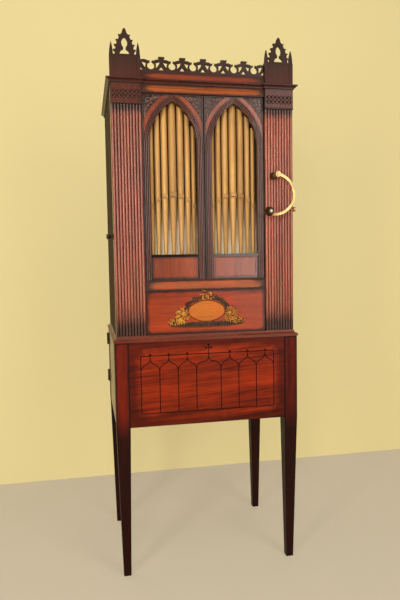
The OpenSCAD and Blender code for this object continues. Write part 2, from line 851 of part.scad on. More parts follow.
leg_front_left();
leg_front_right();
leg_rear_left();
leg_rear_right();
stand_front_panel();
stand_side_left();
stand_side_right();
stand_back_door();
stand_floor();
stand_top();
back_hinges();
case_side_left();
case_side_right();
case_back();
roof_board();
pilaster_left();
pilaster_right();
frieze_left();
frieze_right();
arch_frame_left();
arch_frame_right();
arch_moulding_left();
arch_moulding_right();
fascia();
waist_rail();
base_panel();
oval_plate();
pipe_backing();
pipe_ledge();
pipes_left();
pipes_right();
cornice();
plinth_board();
crest();
pedestal_left();
pedestal_right();
pinnacle_left();
pinnacle_right();
crank_escutcheon();
crank_arm();
knob_spindle();
crank_knob();
stop_left();
stop_right();
stop_escutcheons();
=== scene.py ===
"""Looks of a chamber barrel organ: mahogany case, gilt pipes, carving, inlay, crank and stops."""

import fnmatch
import logging
import math
from abc import ABC, abstractmethod
from collections.abc import Iterable, Sequence
from dataclasses import dataclass, replace
from enum import Enum

import bmesh
import bpy
from bmesh.types import BMEdge, BMesh, BMFace, BMVert
from bpy.types import Material, Node, NodeSocket, NodeTree
from mathutils import Matrix, Vector


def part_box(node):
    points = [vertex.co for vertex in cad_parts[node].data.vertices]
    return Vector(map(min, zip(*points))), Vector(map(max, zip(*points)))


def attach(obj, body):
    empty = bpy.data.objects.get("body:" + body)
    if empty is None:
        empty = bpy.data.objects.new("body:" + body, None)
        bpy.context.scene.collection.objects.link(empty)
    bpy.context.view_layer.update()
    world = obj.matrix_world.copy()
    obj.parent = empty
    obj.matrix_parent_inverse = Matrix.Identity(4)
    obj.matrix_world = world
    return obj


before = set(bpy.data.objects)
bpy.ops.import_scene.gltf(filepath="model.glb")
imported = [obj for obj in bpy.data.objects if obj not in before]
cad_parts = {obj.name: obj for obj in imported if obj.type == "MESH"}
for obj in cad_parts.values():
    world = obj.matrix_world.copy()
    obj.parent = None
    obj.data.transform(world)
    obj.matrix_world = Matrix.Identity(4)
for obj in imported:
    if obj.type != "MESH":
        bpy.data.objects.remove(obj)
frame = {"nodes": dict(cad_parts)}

LOG = logging.getLogger("organ")
MM = 0.001
BODY = "case"
SHARP = math.radians(38)
GREY = (0.5, 0.5, 0.5, 1.0)
BLACK = (0.03, 0.02, 0.018, 1.0)
ORIGIN = (0.0, 0.0, 0.0)

Place = tuple[float, float]
Path = Sequence[Place]
Feed = NodeSocket | float | Sequence[float]


class Axis(Enum):
    """Direction in which a board's grain runs."""

    ACROSS = "x"
    DEEP = "y"
    UPRIGHT = "z"


def linear(code: str) -> tuple[float, float, float, float]:
    """Turns six hexadecimal digits, red first, into the linear colour that Blender's sockets take."""
    parts = [int(code[i : i + 2], 16) / 255 for i in (0, 2, 4)]
    return *(p / 12.92 if p <= 0.04045 else ((p + 0.055) / 1.055) ** 2.4 for p in parts), 1.0


class Graph:
    """A node tree with short calls for adding and joining nodes."""

    def __init__(self, tree: NodeTree) -> None:
        """Keeps the tree that the calls work on."""
        self.tree = tree

    def feed(self, node: Node, inputs: dict[str | int, Feed]) -> Node:
        """Sets a node's inputs, or joins sockets to them.

        Args:
            node: the node.
            inputs: socket name or number, and the value or socket that feeds it.

        Returns:
            The same node.
        """
        for key, value in inputs.items():
            if isinstance(value, NodeSocket):
                self.tree.links.new(value, node.inputs[key])
            else:
                node.inputs[key].default_value = value
        return node

    def add(self, kind: str, inputs: dict[str | int, Feed] | None = None, **settings: object) -> Node:
        """Adds a node, with its settings and its inputs.

        Args:
            kind: the node's type, without ShaderNode if it starts so.
            inputs: socket name or number, and the value or socket that feeds it.
            **settings: the node's own properties.

        Returns:
            The new node.
        """
        node = self.tree.nodes.new(kind if kind.startswith("Node") else f"ShaderNode{kind}")
        for name, value in settings.items():
            setattr(node, name, value)
        return self.feed(node, inputs or {})

    def maths(self, operation: str, a: Feed, b: Feed = 0.0, clamp: bool = False) -> NodeSocket:
        """Adds a Math node, and keeps its result between zero and one if asked."""
        return self.add("Math", {0: a, 1: b}, operation=operation, use_clamp=clamp).outputs[0]

    def plus(self, a: Feed, b: Feed, clamp: bool = False) -> NodeSocket:
        """Adds two values."""
        return self.maths("ADD", a, b, clamp)

    def minus(self, a: Feed, b: Feed, clamp: bool = False) -> NodeSocket:
        """Takes the second value from the first."""
        return self.maths("SUBTRACT", a, b, clamp)

    def times(self, a: Feed, b: Feed, clamp: bool = False) -> NodeSocket:
        """Multiplies two values."""
        return self.maths("MULTIPLY", a, b, clamp)

    def vector(self, operation: str, a: Feed, b: Feed = ORIGIN) -> NodeSocket:
        """Adds a Vector Math node and returns its vector."""
        return self.add("VectorMath", {0: a, 1: b}, operation=operation).outputs[0]

    def part(self, vector: Feed, axis: int) -> NodeSocket:
        """Takes one part of a vector, counted from zero."""
        return self.add("SeparateXYZ", {0: vector}).outputs[axis]

    def mix(self, share: Feed, a: Feed, b: Feed, blend: str = "MIX") -> NodeSocket:
        """Mixes two colours, with as much of the second as the share says."""
        node = self.add("Mix", {0: share, 6: a, 7: b}, data_type="RGBA", blend_type=blend)
        return node.outputs[2]

    def ramp(self, value: Feed, low: Feed, high: Feed) -> NodeSocket:
        """Maps the range from low to high to the range from zero to one, and clamps it."""
        return self.add("MapRange", {"Value": value, "From Min": low, "From Max": high}).outputs[0]

    def noise(self, vector: Feed, scale: float, detail: float = 3.0, rough: float = 0.55) -> NodeSocket:
        """Adds a noise texture, around one half, of a scale and with finer layers of a strength."""
        values = {"Vector": vector, "Scale": scale, "Detail": detail, "Roughness": rough}
        return self.add("TexNoise", values).outputs["Fac"]

    def clouds(
        self, vector: Feed, scale: float, detail: float, rough: float, low: float, high: float
    ) -> NodeSocket:
        """Adds a noise texture whose values from low to high fill the range from zero to one."""
        return self.ramp(self.noise(vector, scale, detail, rough), low, high)


class Effect:
    """A shader node group that several finishes share."""

    kinds = {"RGBA": "Color", "VALUE": "Float", "VECTOR": "Vector"}

    def __init__(self, name: str, **inputs: float | tuple[float, ...]) -> None:
        """Makes the group's tree with its inputs.

        Args:
            name: the group's name.
            **inputs: input name and default value, whose length gives the type.
        """
        self.tree = bpy.data.node_groups.new(name, "ShaderNodeTree")
        for title, value in inputs.items():
            kind = {3: "Vector", 4: "Color"}[len(value)] if isinstance(value, tuple) else "Float"
            self.socket(title, "INPUT", kind).default_value = value
        self.graph = Graph(self.tree)
        self.inlet = self.graph.add("NodeGroupInput").outputs

    def socket(self, title: str, way: str, kind: str) -> bpy.types.NodeTreeInterfaceSocket:
        """Adds an input or an output to the group."""
        return self.tree.interface.new_socket(title, in_out=way, socket_type=f"NodeSocket{kind}")

    def send(self, **results: NodeSocket) -> "Effect":
        """Makes the group's outputs.

        Args:
            **results: output name and the socket that feeds it.

        Returns:
            The same effect.
        """
        for title, source in results.items():
            self.socket(title, "OUTPUT", self.kinds[source.type])
        self.graph.add("NodeGroupOutput", results)
        return self


class Coat(Graph):
    """A material in the making: its graph, the place on the object and the colour so far."""

    def __init__(self, name: str) -> None:
        """Starts the material.

        Args:
            name: its name.
        """
        self.material = bpy.data.materials.new(name)
        self.material.use_nodes = True
        super().__init__(self.material.node_tree)
        self.place = self.add("TexCoord").outputs["Object"]
        self.colour: Feed = GREY

    def lay(self, effect: Effect, **inputs: Feed) -> bpy.types.bpy_prop_collection:
        """Lays an effect over the colour so far.

        Args:
            effect: the effect.
            **inputs: its other inputs' names, and the values or sockets that feed them.

        Returns:
            The effect's outputs.
        """
        inputs |= {"Vector": self.place, "Colour": self.colour}
        outputs = self.add("Group", inputs, node_tree=effect.tree).outputs
        self.colour = outputs["Colour"]
        return outputs

    def bump(self, strength: float, distance: float, height: NodeSocket, **inputs: Feed) -> NodeSocket:
        """Adds a bump, from a normal if one is given, and returns the new normal."""
        inputs |= {"Strength": strength, "Distance": distance, "Height": height}
        return self.add("Bump", inputs).outputs[0]

    def close(self, roughness: Feed, **surface: Feed) -> Material:
        """Joins all to the shader.

        Args:
            roughness: how rough the surface is.
            **surface: the shader's other inputs, with an underscore for each space.

        Returns:
            The finished material.
        """
        values = {name.replace("_", " "): value for name, value in surface.items()}
        values |= {"Base Color": self.colour, "Roughness": roughness}
        self.feed(self.tree.nodes["Principled BSDF"], values)
        return self.material


def grain_effect() -> Effect:
    """Builds the wood grain: growth bands, cross figure and pores along the vector's third axis.

    Returns:
        The effect.
    """
    effect = Effect(
        "wood grain",
        Vector=ORIGIN,
        Light=(0.4, 0.1, 0.04, 1.0),
        Dark=(0.1, 0.02, 0.01, 1.0),
        Bands=0.6,
        Figure=0.4,
        Pores=0.5,
    )
    g, inlet = effect.graph, effect.inlet
    stretched = g.vector("MULTIPLY", inlet["Vector"], (1, 1, 0.07))
    growth = g.plus(g.times(g.noise(stretched, 9, 2), 0.45), g.times(g.noise(stretched, 70, 4, 0.66), 0.55))
    bands = g.ramp(growth, 0.39, 0.61)
    crossed = g.vector("MULTIPLY", inlet["Vector"], (1, 1, 4.2))
    curl = g.clouds(crossed, 7, 2, 0.5, 0.38, 0.66)
    patch = g.clouds(inlet["Vector"], 3.2, 1, 0.55, 0.4, 0.62)
    figure = g.times(g.times(curl, patch), inlet["Figure"])
    lit = g.mix(g.minus(1.0, g.times(bands, inlet["Bands"])), inlet["Dark"], inlet["Light"])
    glow = g.mix(figure, lit, (1, 0.42, 0.16, 1), "SOFT_LIGHT")
    fine = g.vector("MULTIPLY", inlet["Vector"], (1, 1, 0.035))
    pore = g.clouds(fine, 620, 2, 0.5, 0.57, 0.7)
    colour = g.mix(g.times(pore, inlet["Pores"]), glow, inlet["Dark"])
    return effect.send(Colour=colour, Height=g.minus(0.0, pore))


def wear_effect() -> Effect:
    """Builds the wear: rubbed outer edges from a rounded normal, and soot with painted shade in the hollows.

    Returns:
        The effect.
    """
    effect = Effect(
        "edge wear and soot",
        Vector=ORIGIN,
        Colour=GREY,
        Rubbed=(0.6, 0.3, 0.15, 1.0),
        Edges=0.4,
        Soot=0.5,
        Radius=0.0012,
        Reach=0.012,
    )
    g, inlet = effect.graph, effect.inlet
    rounded = g.add("Bevel", {"Radius": inlet["Radius"]}, samples=4).outputs["Normal"]
    true_normal = g.add("NewGeometry").outputs["True Normal"]
    alike = g.add("VectorMath", {0: rounded, 1: true_normal}, operation="DOT_PRODUCT").outputs["Value"]
    edge = g.ramp(g.minus(1.0, alike), 0.01, 0.16)
    worn = g.clouds(inlet["Vector"], 55, 4, 0.65, 0.42, 0.66)
    rub = g.times(g.times(edge, worn), inlet["Edges"], clamp=True)
    # Ambient occlusion finds the hollows, which are darkened: soot together with painted shade.
    hollow = g.add("AmbientOcclusion", {"Distance": inlet["Reach"]}, samples=6, only_local=False)
    patchy = g.clouds(inlet["Vector"], 21, 3, 0.55, 0.25, 0.7)
    closed = g.times(g.ramp(hollow.outputs["AO"], 0.92, 0.35), g.plus(0.55, g.times(patchy, 0.45)))
    soot_and_shade = g.times(closed, inlet["Soot"], clamp=True)
    sooted_and_shaded = g.mix(soot_and_shade, inlet["Colour"], (0.012, 0.006, 0.005, 1))
    return effect.send(Colour=g.mix(rub, sooted_and_shaded, inlet["Rubbed"]), Normal=rounded, Mask=soot_and_shade)


def dust_effect() -> Effect:
    """Builds the dust: a pale film that settles on what faces up.

    Returns:
        The effect.
    """
    effect = Effect("dust", Vector=ORIGIN, Colour=GREY, Amount=0.25)
    g, inlet = effect.graph, effect.inlet
    up = g.part(g.add("NewGeometry").outputs["Normal"], 2)
    drift = g.clouds(inlet["Vector"], 12, 4, 0.6, 0.3, 0.75)
    film = g.times(g.times(g.ramp(up, 0.6, 1.0), drift), inlet["Amount"], clamp=True)
    return effect.send(Colour=g.mix(film, inlet["Colour"], (0.42, 0.36, 0.29, 1)), Mask=film)


def grime_and_shade_effect() -> Effect:
    """Builds a dark round-cornered border inside a panel, or only at its two ends, as grime and painted
    shade.

    The panel and its mirror image on the other side of the case are both darkened. With Ends at one, the
    upper end's dark border is shorter than the lower one's.

    Returns:
        The effect.
    """
    effect = Effect(
        "panel grime",
        Vector=ORIGIN,
        Colour=GREY,
        Shade=BLACK,
        Centre=ORIGIN,
        Half=(1.0, 1.0, 1.0),
        Border=0.02,
        Stretch=1.0,
        Ends=0.0,
        Amount=0.5,
    )
    g, inlet = effect.graph, effect.inlet
    x, y, z = (g.part(inlet["Vector"], axis) for axis in range(3))
    folded = g.add("CombineXYZ", {0: g.maths("ABSOLUTE", x), 1: y, 2: z}).outputs[0]
    offset = g.vector("SUBTRACT", folded, inlet["Centre"])
    inside = g.vector("SUBTRACT", inlet["Half"], g.vector("ABSOLUTE", offset))
    in_x, in_z = g.part(inside, 0), g.part(inside, 2)
    squeeze = g.minus(1.0, g.times(inlet["Ends"], 0.9))
    drawn = g.add("CombineXYZ", {0: 1.0, 1: 1.0, 2: squeeze}).outputs[0]
    streaky = g.vector("MULTIPLY", inlet["Vector"], drawn)
    ragged = g.plus(0.35, g.times(g.noise(streaky, 34, 4, 0.65), 1.3))
    border = g.times(ragged, inlet["Border"])
    upper = g.maths("GREATER_THAN", g.part(offset, 2), 0.0)
    shorter = g.minus(1.0, g.times(g.times(upper, inlet["Ends"]), 0.6))
    by_side = g.minus(1.0, g.maths("DIVIDE", in_x, g.times(border, inlet["Stretch"])), clamp=True)
    side = g.times(by_side, g.minus(1.0, inlet["Ends"]))
    end = g.minus(1.0, g.maths("DIVIDE", in_z, g.times(border, shorter)), clamp=True)
    both = g.plus(g.times(side, side), g.times(end, end))
    slack = -0.002
    within = g.maths("MINIMUM", g.maths("GREATER_THAN", in_x, slack), g.maths("GREATER_THAN", in_z, slack))
    # The mask mixes the colour towards Shade: grime together with painted shade where the panel meets the
    # parts round it.
    mask = g.times(g.times(g.ramp(both, 0.16, 0.62), inlet["Amount"]), within, clamp=True)
    return effect.send(Colour=g.mix(mask, inlet["Colour"], inlet["Shade"]))


def fade_effect() -> Effect:
    """Builds a fade to another shade between two heights, with a ragged edge.

    Returns:
        The effect.
    """
    effect = Effect("height fade", Vector=ORIGIN, Colour=GREY, Shade=BLACK, From=0.0, To=1.0, Amount=0.8)
    g, inlet = effect.graph, effect.inlet
    wander = g.times(g.minus(g.noise(inlet["Vector"], 30, 3), 0.5), 0.02)
    share = g.ramp(g.plus(g.part(inlet["Vector"], 2), wander), inlet["From"], inlet["To"])
    mask = g.times(share, inlet["Amount"], clamp=True)
    return effect.send(Colour=g.mix(mask, inlet["Colour"], inlet["Shade"]))


class Effects:
    """The shared effects, built once."""

    def __init__(self) -> None:
        """Builds each effect."""
        self.grain = grain_effect()
        self.wear = wear_effect()
        self.dust = dust_effect()
        self.grime_and_shade = grime_and_shade_effect()
        self.fade = fade_effect()


@dataclass(frozen=True)
class Finish(ABC):
    """What every finish has: a name, and a way to build its material."""

    name: str

    @abstractmethod
    def make(self, effects: Effects) -> Material:
        """Builds the material.

        Args:
            effects: the shared effects.

        Returns:
            The finished material.
        """


@dataclass(frozen=True)
class Wood(Finish):
    """French-polished or oiled wood with grain, figure, pores, rubbed edges, soot with painted shade in the
    hollows, and dust.
    """

    light: str = "A8502A"
    dark: str = "5A1F10"
    axis: Axis = Axis.UPRIGHT
    bands: float = 0.6
    figure: float = 0.2
    pores: float = 0.35
    rough: float = 0.38
    coat: float = 0.0
    gloss: float = 0.22
    bump: float = 0.25
    rounding: float = 0.0012
    edges: float = 0.35
    soot_and_shade: float = 0.55
    rubbed: str = "B56A3C"
    dust: float = 0.2
    fine: float = 1.0
    slant: float = 0.0
    panel: str = ""
    border: float = 0.022
    stretch: float = 1.0
    ends: float = 0.0
    grime_and_shade: float = 0.85
    shade: str = "1E1412"
    reach: float = 0.012
    sunk: float = 0.0
    sills: bool = False
    fade: tuple[float, float] | None = None
    fade_shade: str = "260C0A"
    fade_amount: float = 0.85
    planks: float = 0.0

    def grained(self, g: Coat, effect: Effect) -> NodeSocket:
        """Lays the grain along the board, and the joints between upright boards.

        Args:
            g: the material in the making.
            effect: the grain.

        Returns:
            The socket with the height.
        """
        across = (0, math.pi / 2 + self.slant, 0)
        turn = {Axis.UPRIGHT: (0, self.slant, 0), Axis.ACROSS: across, Axis.DEEP: (math.pi / 2, 0, 0)}
        mapping = {"Vector": g.place, "Rotation": turn[self.axis], "Scale": (self.fine, self.fine, self.fine)}
        values = {"Vector": g.add("Mapping", mapping).outputs[0], "Bands": self.bands, "Figure": self.figure}
        values |= {"Light": linear(self.light), "Dark": linear(self.dark), "Pores": self.pores}
        grain = g.add("Group", values, node_tree=effect.tree).outputs
        g.colour, height = grain["Colour"], grain["Height"]
        if not self.planks:
            return height
        course = g.maths("DIVIDE", g.part(g.place, 0), self.planks)
        joint = g.ramp(g.maths("ABSOLUTE", g.minus(g.maths("FRACT", course), 0.5)), 0.008, 0.003)
        g.colour = g.mix(joint, g.colour, (0.01, 0.006, 0.004, 1))
        return g.minus(height, g.times(joint, 6.0))

    def soil_and_shade(self, g: Coat, effect: Effect) -> None:
        """Darkens the border of the panel and the borders of the sills with grime and painted shade, and
        paints shade on what lies sunk.

        Args:
            g: the material in the making.
            effect: the grime.
        """
        box = tuple(Vector(corner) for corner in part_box(self.panel))
        for low, high in (box, Sill.panel()) if self.sills else (box,):
            middle = (low + high) / 2
            centre = (abs(middle.x), middle.y, middle.z)
            extent = {"Border": self.border, "Stretch": self.stretch, "Ends": self.ends}
            shade = linear(self.shade)
            g.lay(effect, Centre=centre, Half=(high - low) / 2, Shade=shade, Amount=self.grime_and_shade, **extent)
        # What lies sunk behind the face is mixed nearly to black: painted shade.
        if self.sunk:
            depth = box[0].y + self.sunk
            sunk_shade_mask = g.times(g.ramp(g.part(g.place, 1), depth, depth + MM), 0.95)
            g.colour = g.mix(sunk_shade_mask, g.colour, (0.006, 0.004, 0.003, 1))

    def make(self, effects: Effects) -> Material:
        """Builds the wood: grain, grime with painted shade, fade, wear with soot and painted shade, and dust
        in turn.

        Args:
            effects: the shared effects.

        Returns:
            The finished material.
        """
        g = Coat(self.name)
        height = self.grained(g, effects.grain)
        if self.panel:
            self.soil_and_shade(g, effects.grime_and_shade)
        if self.fade:
            start, end = self.fade
            g.lay(effects.fade, From=start, To=end, Shade=linear(self.fade_shade), Amount=self.fade_amount)
        values = {"Edges": self.edges, "Soot": self.soot_and_shade, "Radius": self.rounding, "Reach": self.reach}
        wear = g.lay(effects.wear, Rubbed=linear(self.rubbed), **values)
        dust = g.lay(effects.dust, Amount=self.dust)
        smear = g.clouds(g.place, 17, 4, 0.6, 0.2, 0.8)
        varied = g.plus(self.rough - 0.06, g.times(smear, 0.12))
        dulled = g.plus(varied, g.times(wear["Mask"], 0.3))
        return g.close(
            g.plus(dulled, dust["Mask"], clamp=True),
            Normal=g.bump(self.bump, 0.0003, height, Normal=wear["Normal"]),
            Coat_Weight=self.coat,
            Coat_Roughness=0.18,
            Specular_IOR_Level=self.gloss,
        )


@dataclass(frozen=True)
class Metal(Finish):
    """Brass or gilding: a tone that wanders a little, tarnish with painted shade in the hollows, and rubbed
    edges.
    """

    light: str = "D9C48E"
    dark: str = "8F7440"
    metallic: float = 1.0
    rough: float = 0.3
    edges: float = 0.4
    soot_and_shade: float = 0.5
    rubbed: str = "F2E2B4"
    specks: float = 0.2
    stretch: float = 1.0
    reach: float = 0.012
    dust: float = 0.05

    def make(self, effects: Effects) -> Material:
        """Builds the metal: tone, specks, wear with tarnish and painted shade in the hollows, and dust in
        turn.

        Args:
            effects: the shared effects.

        Returns:
            The finished material.
        """
        g = Coat(self.name)
        drawn = g.vector("MULTIPLY", g.place, (1, 1, self.stretch))
        cloud = g.clouds(drawn, 26, 5, 0.62, 0.34, 0.68)
        tone = g.mix(cloud, linear(self.light), linear(self.dark))
        speck = g.times(g.clouds(g.place, 420, 2, 0.55, 0.6, 0.74), self.specks)
        g.colour = g.mix(speck, tone, (0.05, 0.03, 0.015, 1))
        values = {"Edges": self.edges, "Soot": self.soot_and_shade, "Radius": 0.0006, "Reach": self.reach}
        wear = g.lay(effects.wear, Rubbed=linear(self.rubbed), **values)
        g.lay(effects.dust, Amount=self.dust)
        rough = g.plus(g.plus(self.rough, g.times(cloud, 0.16)), g.times(wear["Mask"], 0.3))
        normal = g.bump(0.08, 0.0002, g.noise(drawn, 900, 2), Normal=wear["Normal"])
        return g.close(rough, Normal=normal, Metallic=self.metallic)


@dataclass(frozen=True)
class Board(Finish):
    """Painted or paper-lined board, foxed, with a faint brushed tooth, that darkens towards the top in
    painted shade from the pipes in front.
    """

    light: str = "FFF4DA"
    dark: str = "E6D0A0"
    rough: float = 0.8
    soot_and_shade: float = 0.05
    fade: tuple[float, float] = (1.16, 1.26)
    fade_shade: str = "4A2E1A"

    def make(self, effects: Effects) -> Material:
        """Builds the board: stains, a fade to painted shade towards the top, wear and dust in turn.

        Args:
            effects: the shared effects.

        Returns:
            The finished material.
        """
        g = Coat(self.name)
        stain = g.clouds(g.place, 14, 5, 0.6, 0.45, 0.8)
        g.colour = g.mix(stain, linear(self.light), linear(self.dark))
        start, end = self.fade
        g.lay(effects.fade, From=start, To=end, Shade=linear(self.fade_shade), Amount=0.95)
        g.lay(effects.wear, Edges=0.1, Soot=self.soot_and_shade)
        g.lay(effects.dust, Amount=0.3)
        brushed = g.noise(g.vector("MULTIPLY", g.place, (1, 1, 0.1)), 800, 3)
        return g.close(g.plus(self.rough - 0.05, g.times(stain, 0.1)), Normal=g.bump(0.2, 0.0002, brushed))


# The frame's borders and the sills' borders are darkened nearly black, partly grime and partly painted shadow
# in the gaps beside the doors; its sunk ground is painted shade.
FRAME_MAHOGANY = Wood(
    "frame_mahogany", "9C441C", "561E0C", figure=0.25, panel="arch_frame_right", border=0.014, grime_and_shade=0.9,
    shade="120806", sunk=0.002, sills=True, gloss=0.6, rough=0.22,
)
# The frieze's sunk fret ground is painted nearly black, and its hollows are darkened strongly: painted shade.
FRIEZE_MAHOGANY = Wood(
    "frieze_mahogany", "5A2614", "2A1008", bands=0.5, soot_and_shade=0.95, panel="frieze_right", sunk=0.0035,
    border=0.01, grime_and_shade=0.6, gloss=0.35, rough=0.26,
)
FASCIA_MAHOGANY = Wood(
    "fascia_mahogany", "AA561F", "5E260E", Axis.ACROSS, figure=0.3, panel="fascia", border=0.013, stretch=4.0
)
RAIL_MAHOGANY = Wood(
    "rail_mahogany", "BC6430", "702C14", Axis.ACROSS, figure=0.3, panel="waist_rail", border=0.014,
    stretch=4.0, grime_and_shade=0.9, gloss=0.35,
)
BASE_MAHOGANY = Wood(
    "base_mahogany", "AA4218", "5A1C0A", Axis.ACROSS, bands=0.75, figure=0.3, panel="base_panel",
    border=0.018, stretch=1.5, gloss=0.3, rough=0.3,
)
PLINTH_MAHOGANY = Wood(
    "plinth_mahogany", "9A4018", "4E1A08", Axis.ACROSS, panel="plinth_board", border=0.012, stretch=5.0
)
# Both case sides get a much darker mahogany: painted shade for a side turned from the light.
SHADED_SIDE_MAHOGANY = Wood("side_mahogany", "3C2218", "20100A", figure=0.3, gloss=0.05, rough=0.6)
# The grooves between the reeds get soot and painted shade in full, and the pilaster ends are darkened with
# grime and painted shade.
REEDED_MAHOGANY = Wood(
    "reeded_mahogany", "B05E42", "522014", bands=0.75, pores=0.15, soot_and_shade=1.0, rough=0.24, coat=0.3,
    gloss=0.45, bump=0.0, rounding=0.0002, edges=0.0, panel="pilaster_right", border=0.15, ends=1.0,
    fine=1.6, reach=0.016,
)
RED_PANEL = Wood(
    "red_panel_mahogany", "A4340E", "400E03", Axis.ACROSS, bands=0.85, figure=0.25, slant=0.07,
    panel="stand_front_panel", border=0.07, grime_and_shade=0.7, shade="2E0A05", fine=1.1, gloss=0.12, rough=0.45,
)
RED_SIDE = Wood(
    "red_side_mahogany", "5E1E10", "2C0A05", Axis.DEEP, figure=0.3, coat=0.2, gloss=0.3, rough=0.28
)
DARK_MAHOGANY = Wood(
    "dark_mahogany", "4E2416", "240E08", bands=0.5, rubbed="6A3826", edges=0.4, rough=0.36, soot_and_shade=0.9,
    fade=(1.655, 1.71), fade_shade="2A1D14", fade_amount=0.75,
)
# The moulding's sunk flats between the beads are painted nearly black, and its hollows darkened fully:
# painted shade between the beads.
MOULDED_MAHOGANY = Wood(
    "moulded_mahogany", "6E3624", "3E1A12", bands=0.4, figure=0.0, pores=0.1, edges=0.0, rough=0.1,
    coat=0.25, gloss=0.4, bump=0.0, rounding=0.0002, soot_and_shade=1.0, dust=0.0, reach=0.03,
    panel="arch_moulding_right", grime_and_shade=0.0, sunk=0.0003,
)
# The carving's pale rubbed edges are partly wear and partly painted highlights, and its hollows get soot and
# painted shade.
CARVED_MAHOGANY = Wood(
    "carved_mahogany", "7C5242", "3E2016", bands=0.4, figure=0.0, pores=0.1, rubbed="B08C7C", edges=0.9,
    soot_and_shade=1.0, rough=0.26, coat=0.2, gloss=0.5, bump=0.05, dust=0.0,
)
DARK_CROSS = Wood(
    "dark_cross_mahogany", "4E1E10", "260C06", Axis.ACROSS, bands=0.5, rubbed="8A4A34", rough=0.3,
    gloss=0.3, soot_and_shade=0.8, fade=(1.64, 1.68), fade_shade="2A1D14", fade_amount=0.75,
)
TOP_MAHOGANY = Wood(
    "stand_top_mahogany", "803820", "3A140A", Axis.ACROSS, rubbed="A86448", rough=0.3, gloss=0.3, soot_and_shade=0.8
)
LEG_MAHOGANY = Wood(
    "leg_mahogany", "701E0C", "2C0804", bands=0.75, rubbed="6A2A1A", gloss=0.12, rough=0.45,
    panel="leg_front_right", border=0.014, grime_and_shade=0.8, shade="1A0806", fade=(0.56, 0.47),
    fade_shade="1A0705", fade_amount=0.9,
)
CARCASE_WOOD = Wood(
    "carcase_wood", "7A5236", "4A2E1C", bands=0.7, figure=0.1, rough=0.62, dust=0.35, planks=0.144
)
CROSS_CARCASE = replace(CARCASE_WOOD, name="cross_carcase_wood", axis=Axis.ACROSS, planks=0.0)
SATINWOOD = Wood(
    "satinwood", "CC7428", "984E18", Axis.ACROSS, bands=0.55, figure=0.3, pores=0.3, soot_and_shade=0.3, fine=2.0
)
PALE_INLAY = Wood("pale_inlay", "F0B040", "9A5A1A", bands=0.9, figure=0.0, pores=0.3, soot_and_shade=0.3, fine=5.0)
BROWN_INLAY = Wood("brown_inlay", "6A4018", "2E180A", bands=0.8, figure=0.0, pores=0.3, fine=5.0)
GREEN_INLAY = Wood(
    "green_stained_inlay", "443A26", "16120E", bands=0.7, figure=0.0, pores=0.2, soot_and_shade=0.2, fine=5.0
)
EBONISED = Wood("ebonised_wood", "2E1610", "120705", bands=0.3, figure=0.1, rough=0.2, gloss=0.5)
STRING_LINE = Wood(
    "string_line", "1A0705", "0C0302", bands=0.3, figure=0.0, pores=0.1, edges=0.0, gloss=0.1, rough=0.5
)
GILT = Metal(
    "gilt_pipes", "D2A25C", "AA7E46", metallic=0.2, rough=0.42, soot_and_shade=0.6, specks=0.3, stretch=0.12,
    rubbed="E6C98A", reach=0.006,
)
BRASS = Metal("brass", "DCC48C", "B0925C", rough=0.34)
OLD_BRASS = Metal("old_brass", "6A5032", "38281A", rough=0.45, soot_and_shade=0.8)
CREAM_BOARD = Board("cream_board")

DRESS: dict[Finish, str] = {
    LEG_MAHOGANY: "leg_*",
    RED_PANEL: "stand_front_panel",
    RED_SIDE: "stand_side_*",
    CROSS_CARCASE: "stand_back_door stand_floor roof_board",
    CARCASE_WOOD: "case_back",
    TOP_MAHOGANY: "stand_top",
    DARK_CROSS: "cornice pipe_ledge crest",
    OLD_BRASS: "back_hinges crank_escutcheon stop_escutcheons",
    SHADED_SIDE_MAHOGANY: "case_side_*",
    REEDED_MAHOGANY: "pilaster_*",
    FRAME_MAHOGANY: "arch_frame_*",
    FRIEZE_MAHOGANY: "frieze_*",
    FASCIA_MAHOGANY: "fascia",
    RAIL_MAHOGANY: "waist_rail",
    BASE_MAHOGANY: "base_panel",
    PLINTH_MAHOGANY: "plinth_board",
    MOULDED_MAHOGANY: "arch_moulding_*",
    DARK_MAHOGANY: "pedestal_* pinnacle_*",
    SATINWOOD: "oval_plate",
    CREAM_BOARD: "pipe_backing",
    GILT: "pipes_*",
    BRASS: "crank_arm knob_spindle stop_right",
    EBONISED: "crank_knob stop_left",
}


def show(name: str, data: bpy.types.ID) -> bpy.types.Object:
    """Adds an object to the scene.

    Args:
        name: its name.
        data: its mesh, camera or lamp.

    Returns:
        The object.
    """
    shown = bpy.data.objects.new(name, data)
    bpy.context.scene.collection.objects.link(shown)
    return shown


def solid(name: str, bm: BMesh, material: Material) -> bpy.types.Object:
    """Turns a mesh into an object.

    Args:
        name: its name.
        bm: the mesh, which is used up.
        material: its material.

    Returns:
        The object.
    """
    mesh = bpy.data.meshes.new(name)
    bm.to_mesh(mesh)
    bm.free()
    mesh.materials.append(material)
    return show(name, mesh)


def around(centre: Place, turn: float, wide: float, high: float | None = None) -> Place:
    """Finds a place at an angle in degrees on a circle, or on an oval if both halves are given."""
    angle = math.radians(turn)
    return centre[0] + wide * math.cos(angle), centre[1] + (high or wide) * math.sin(angle)


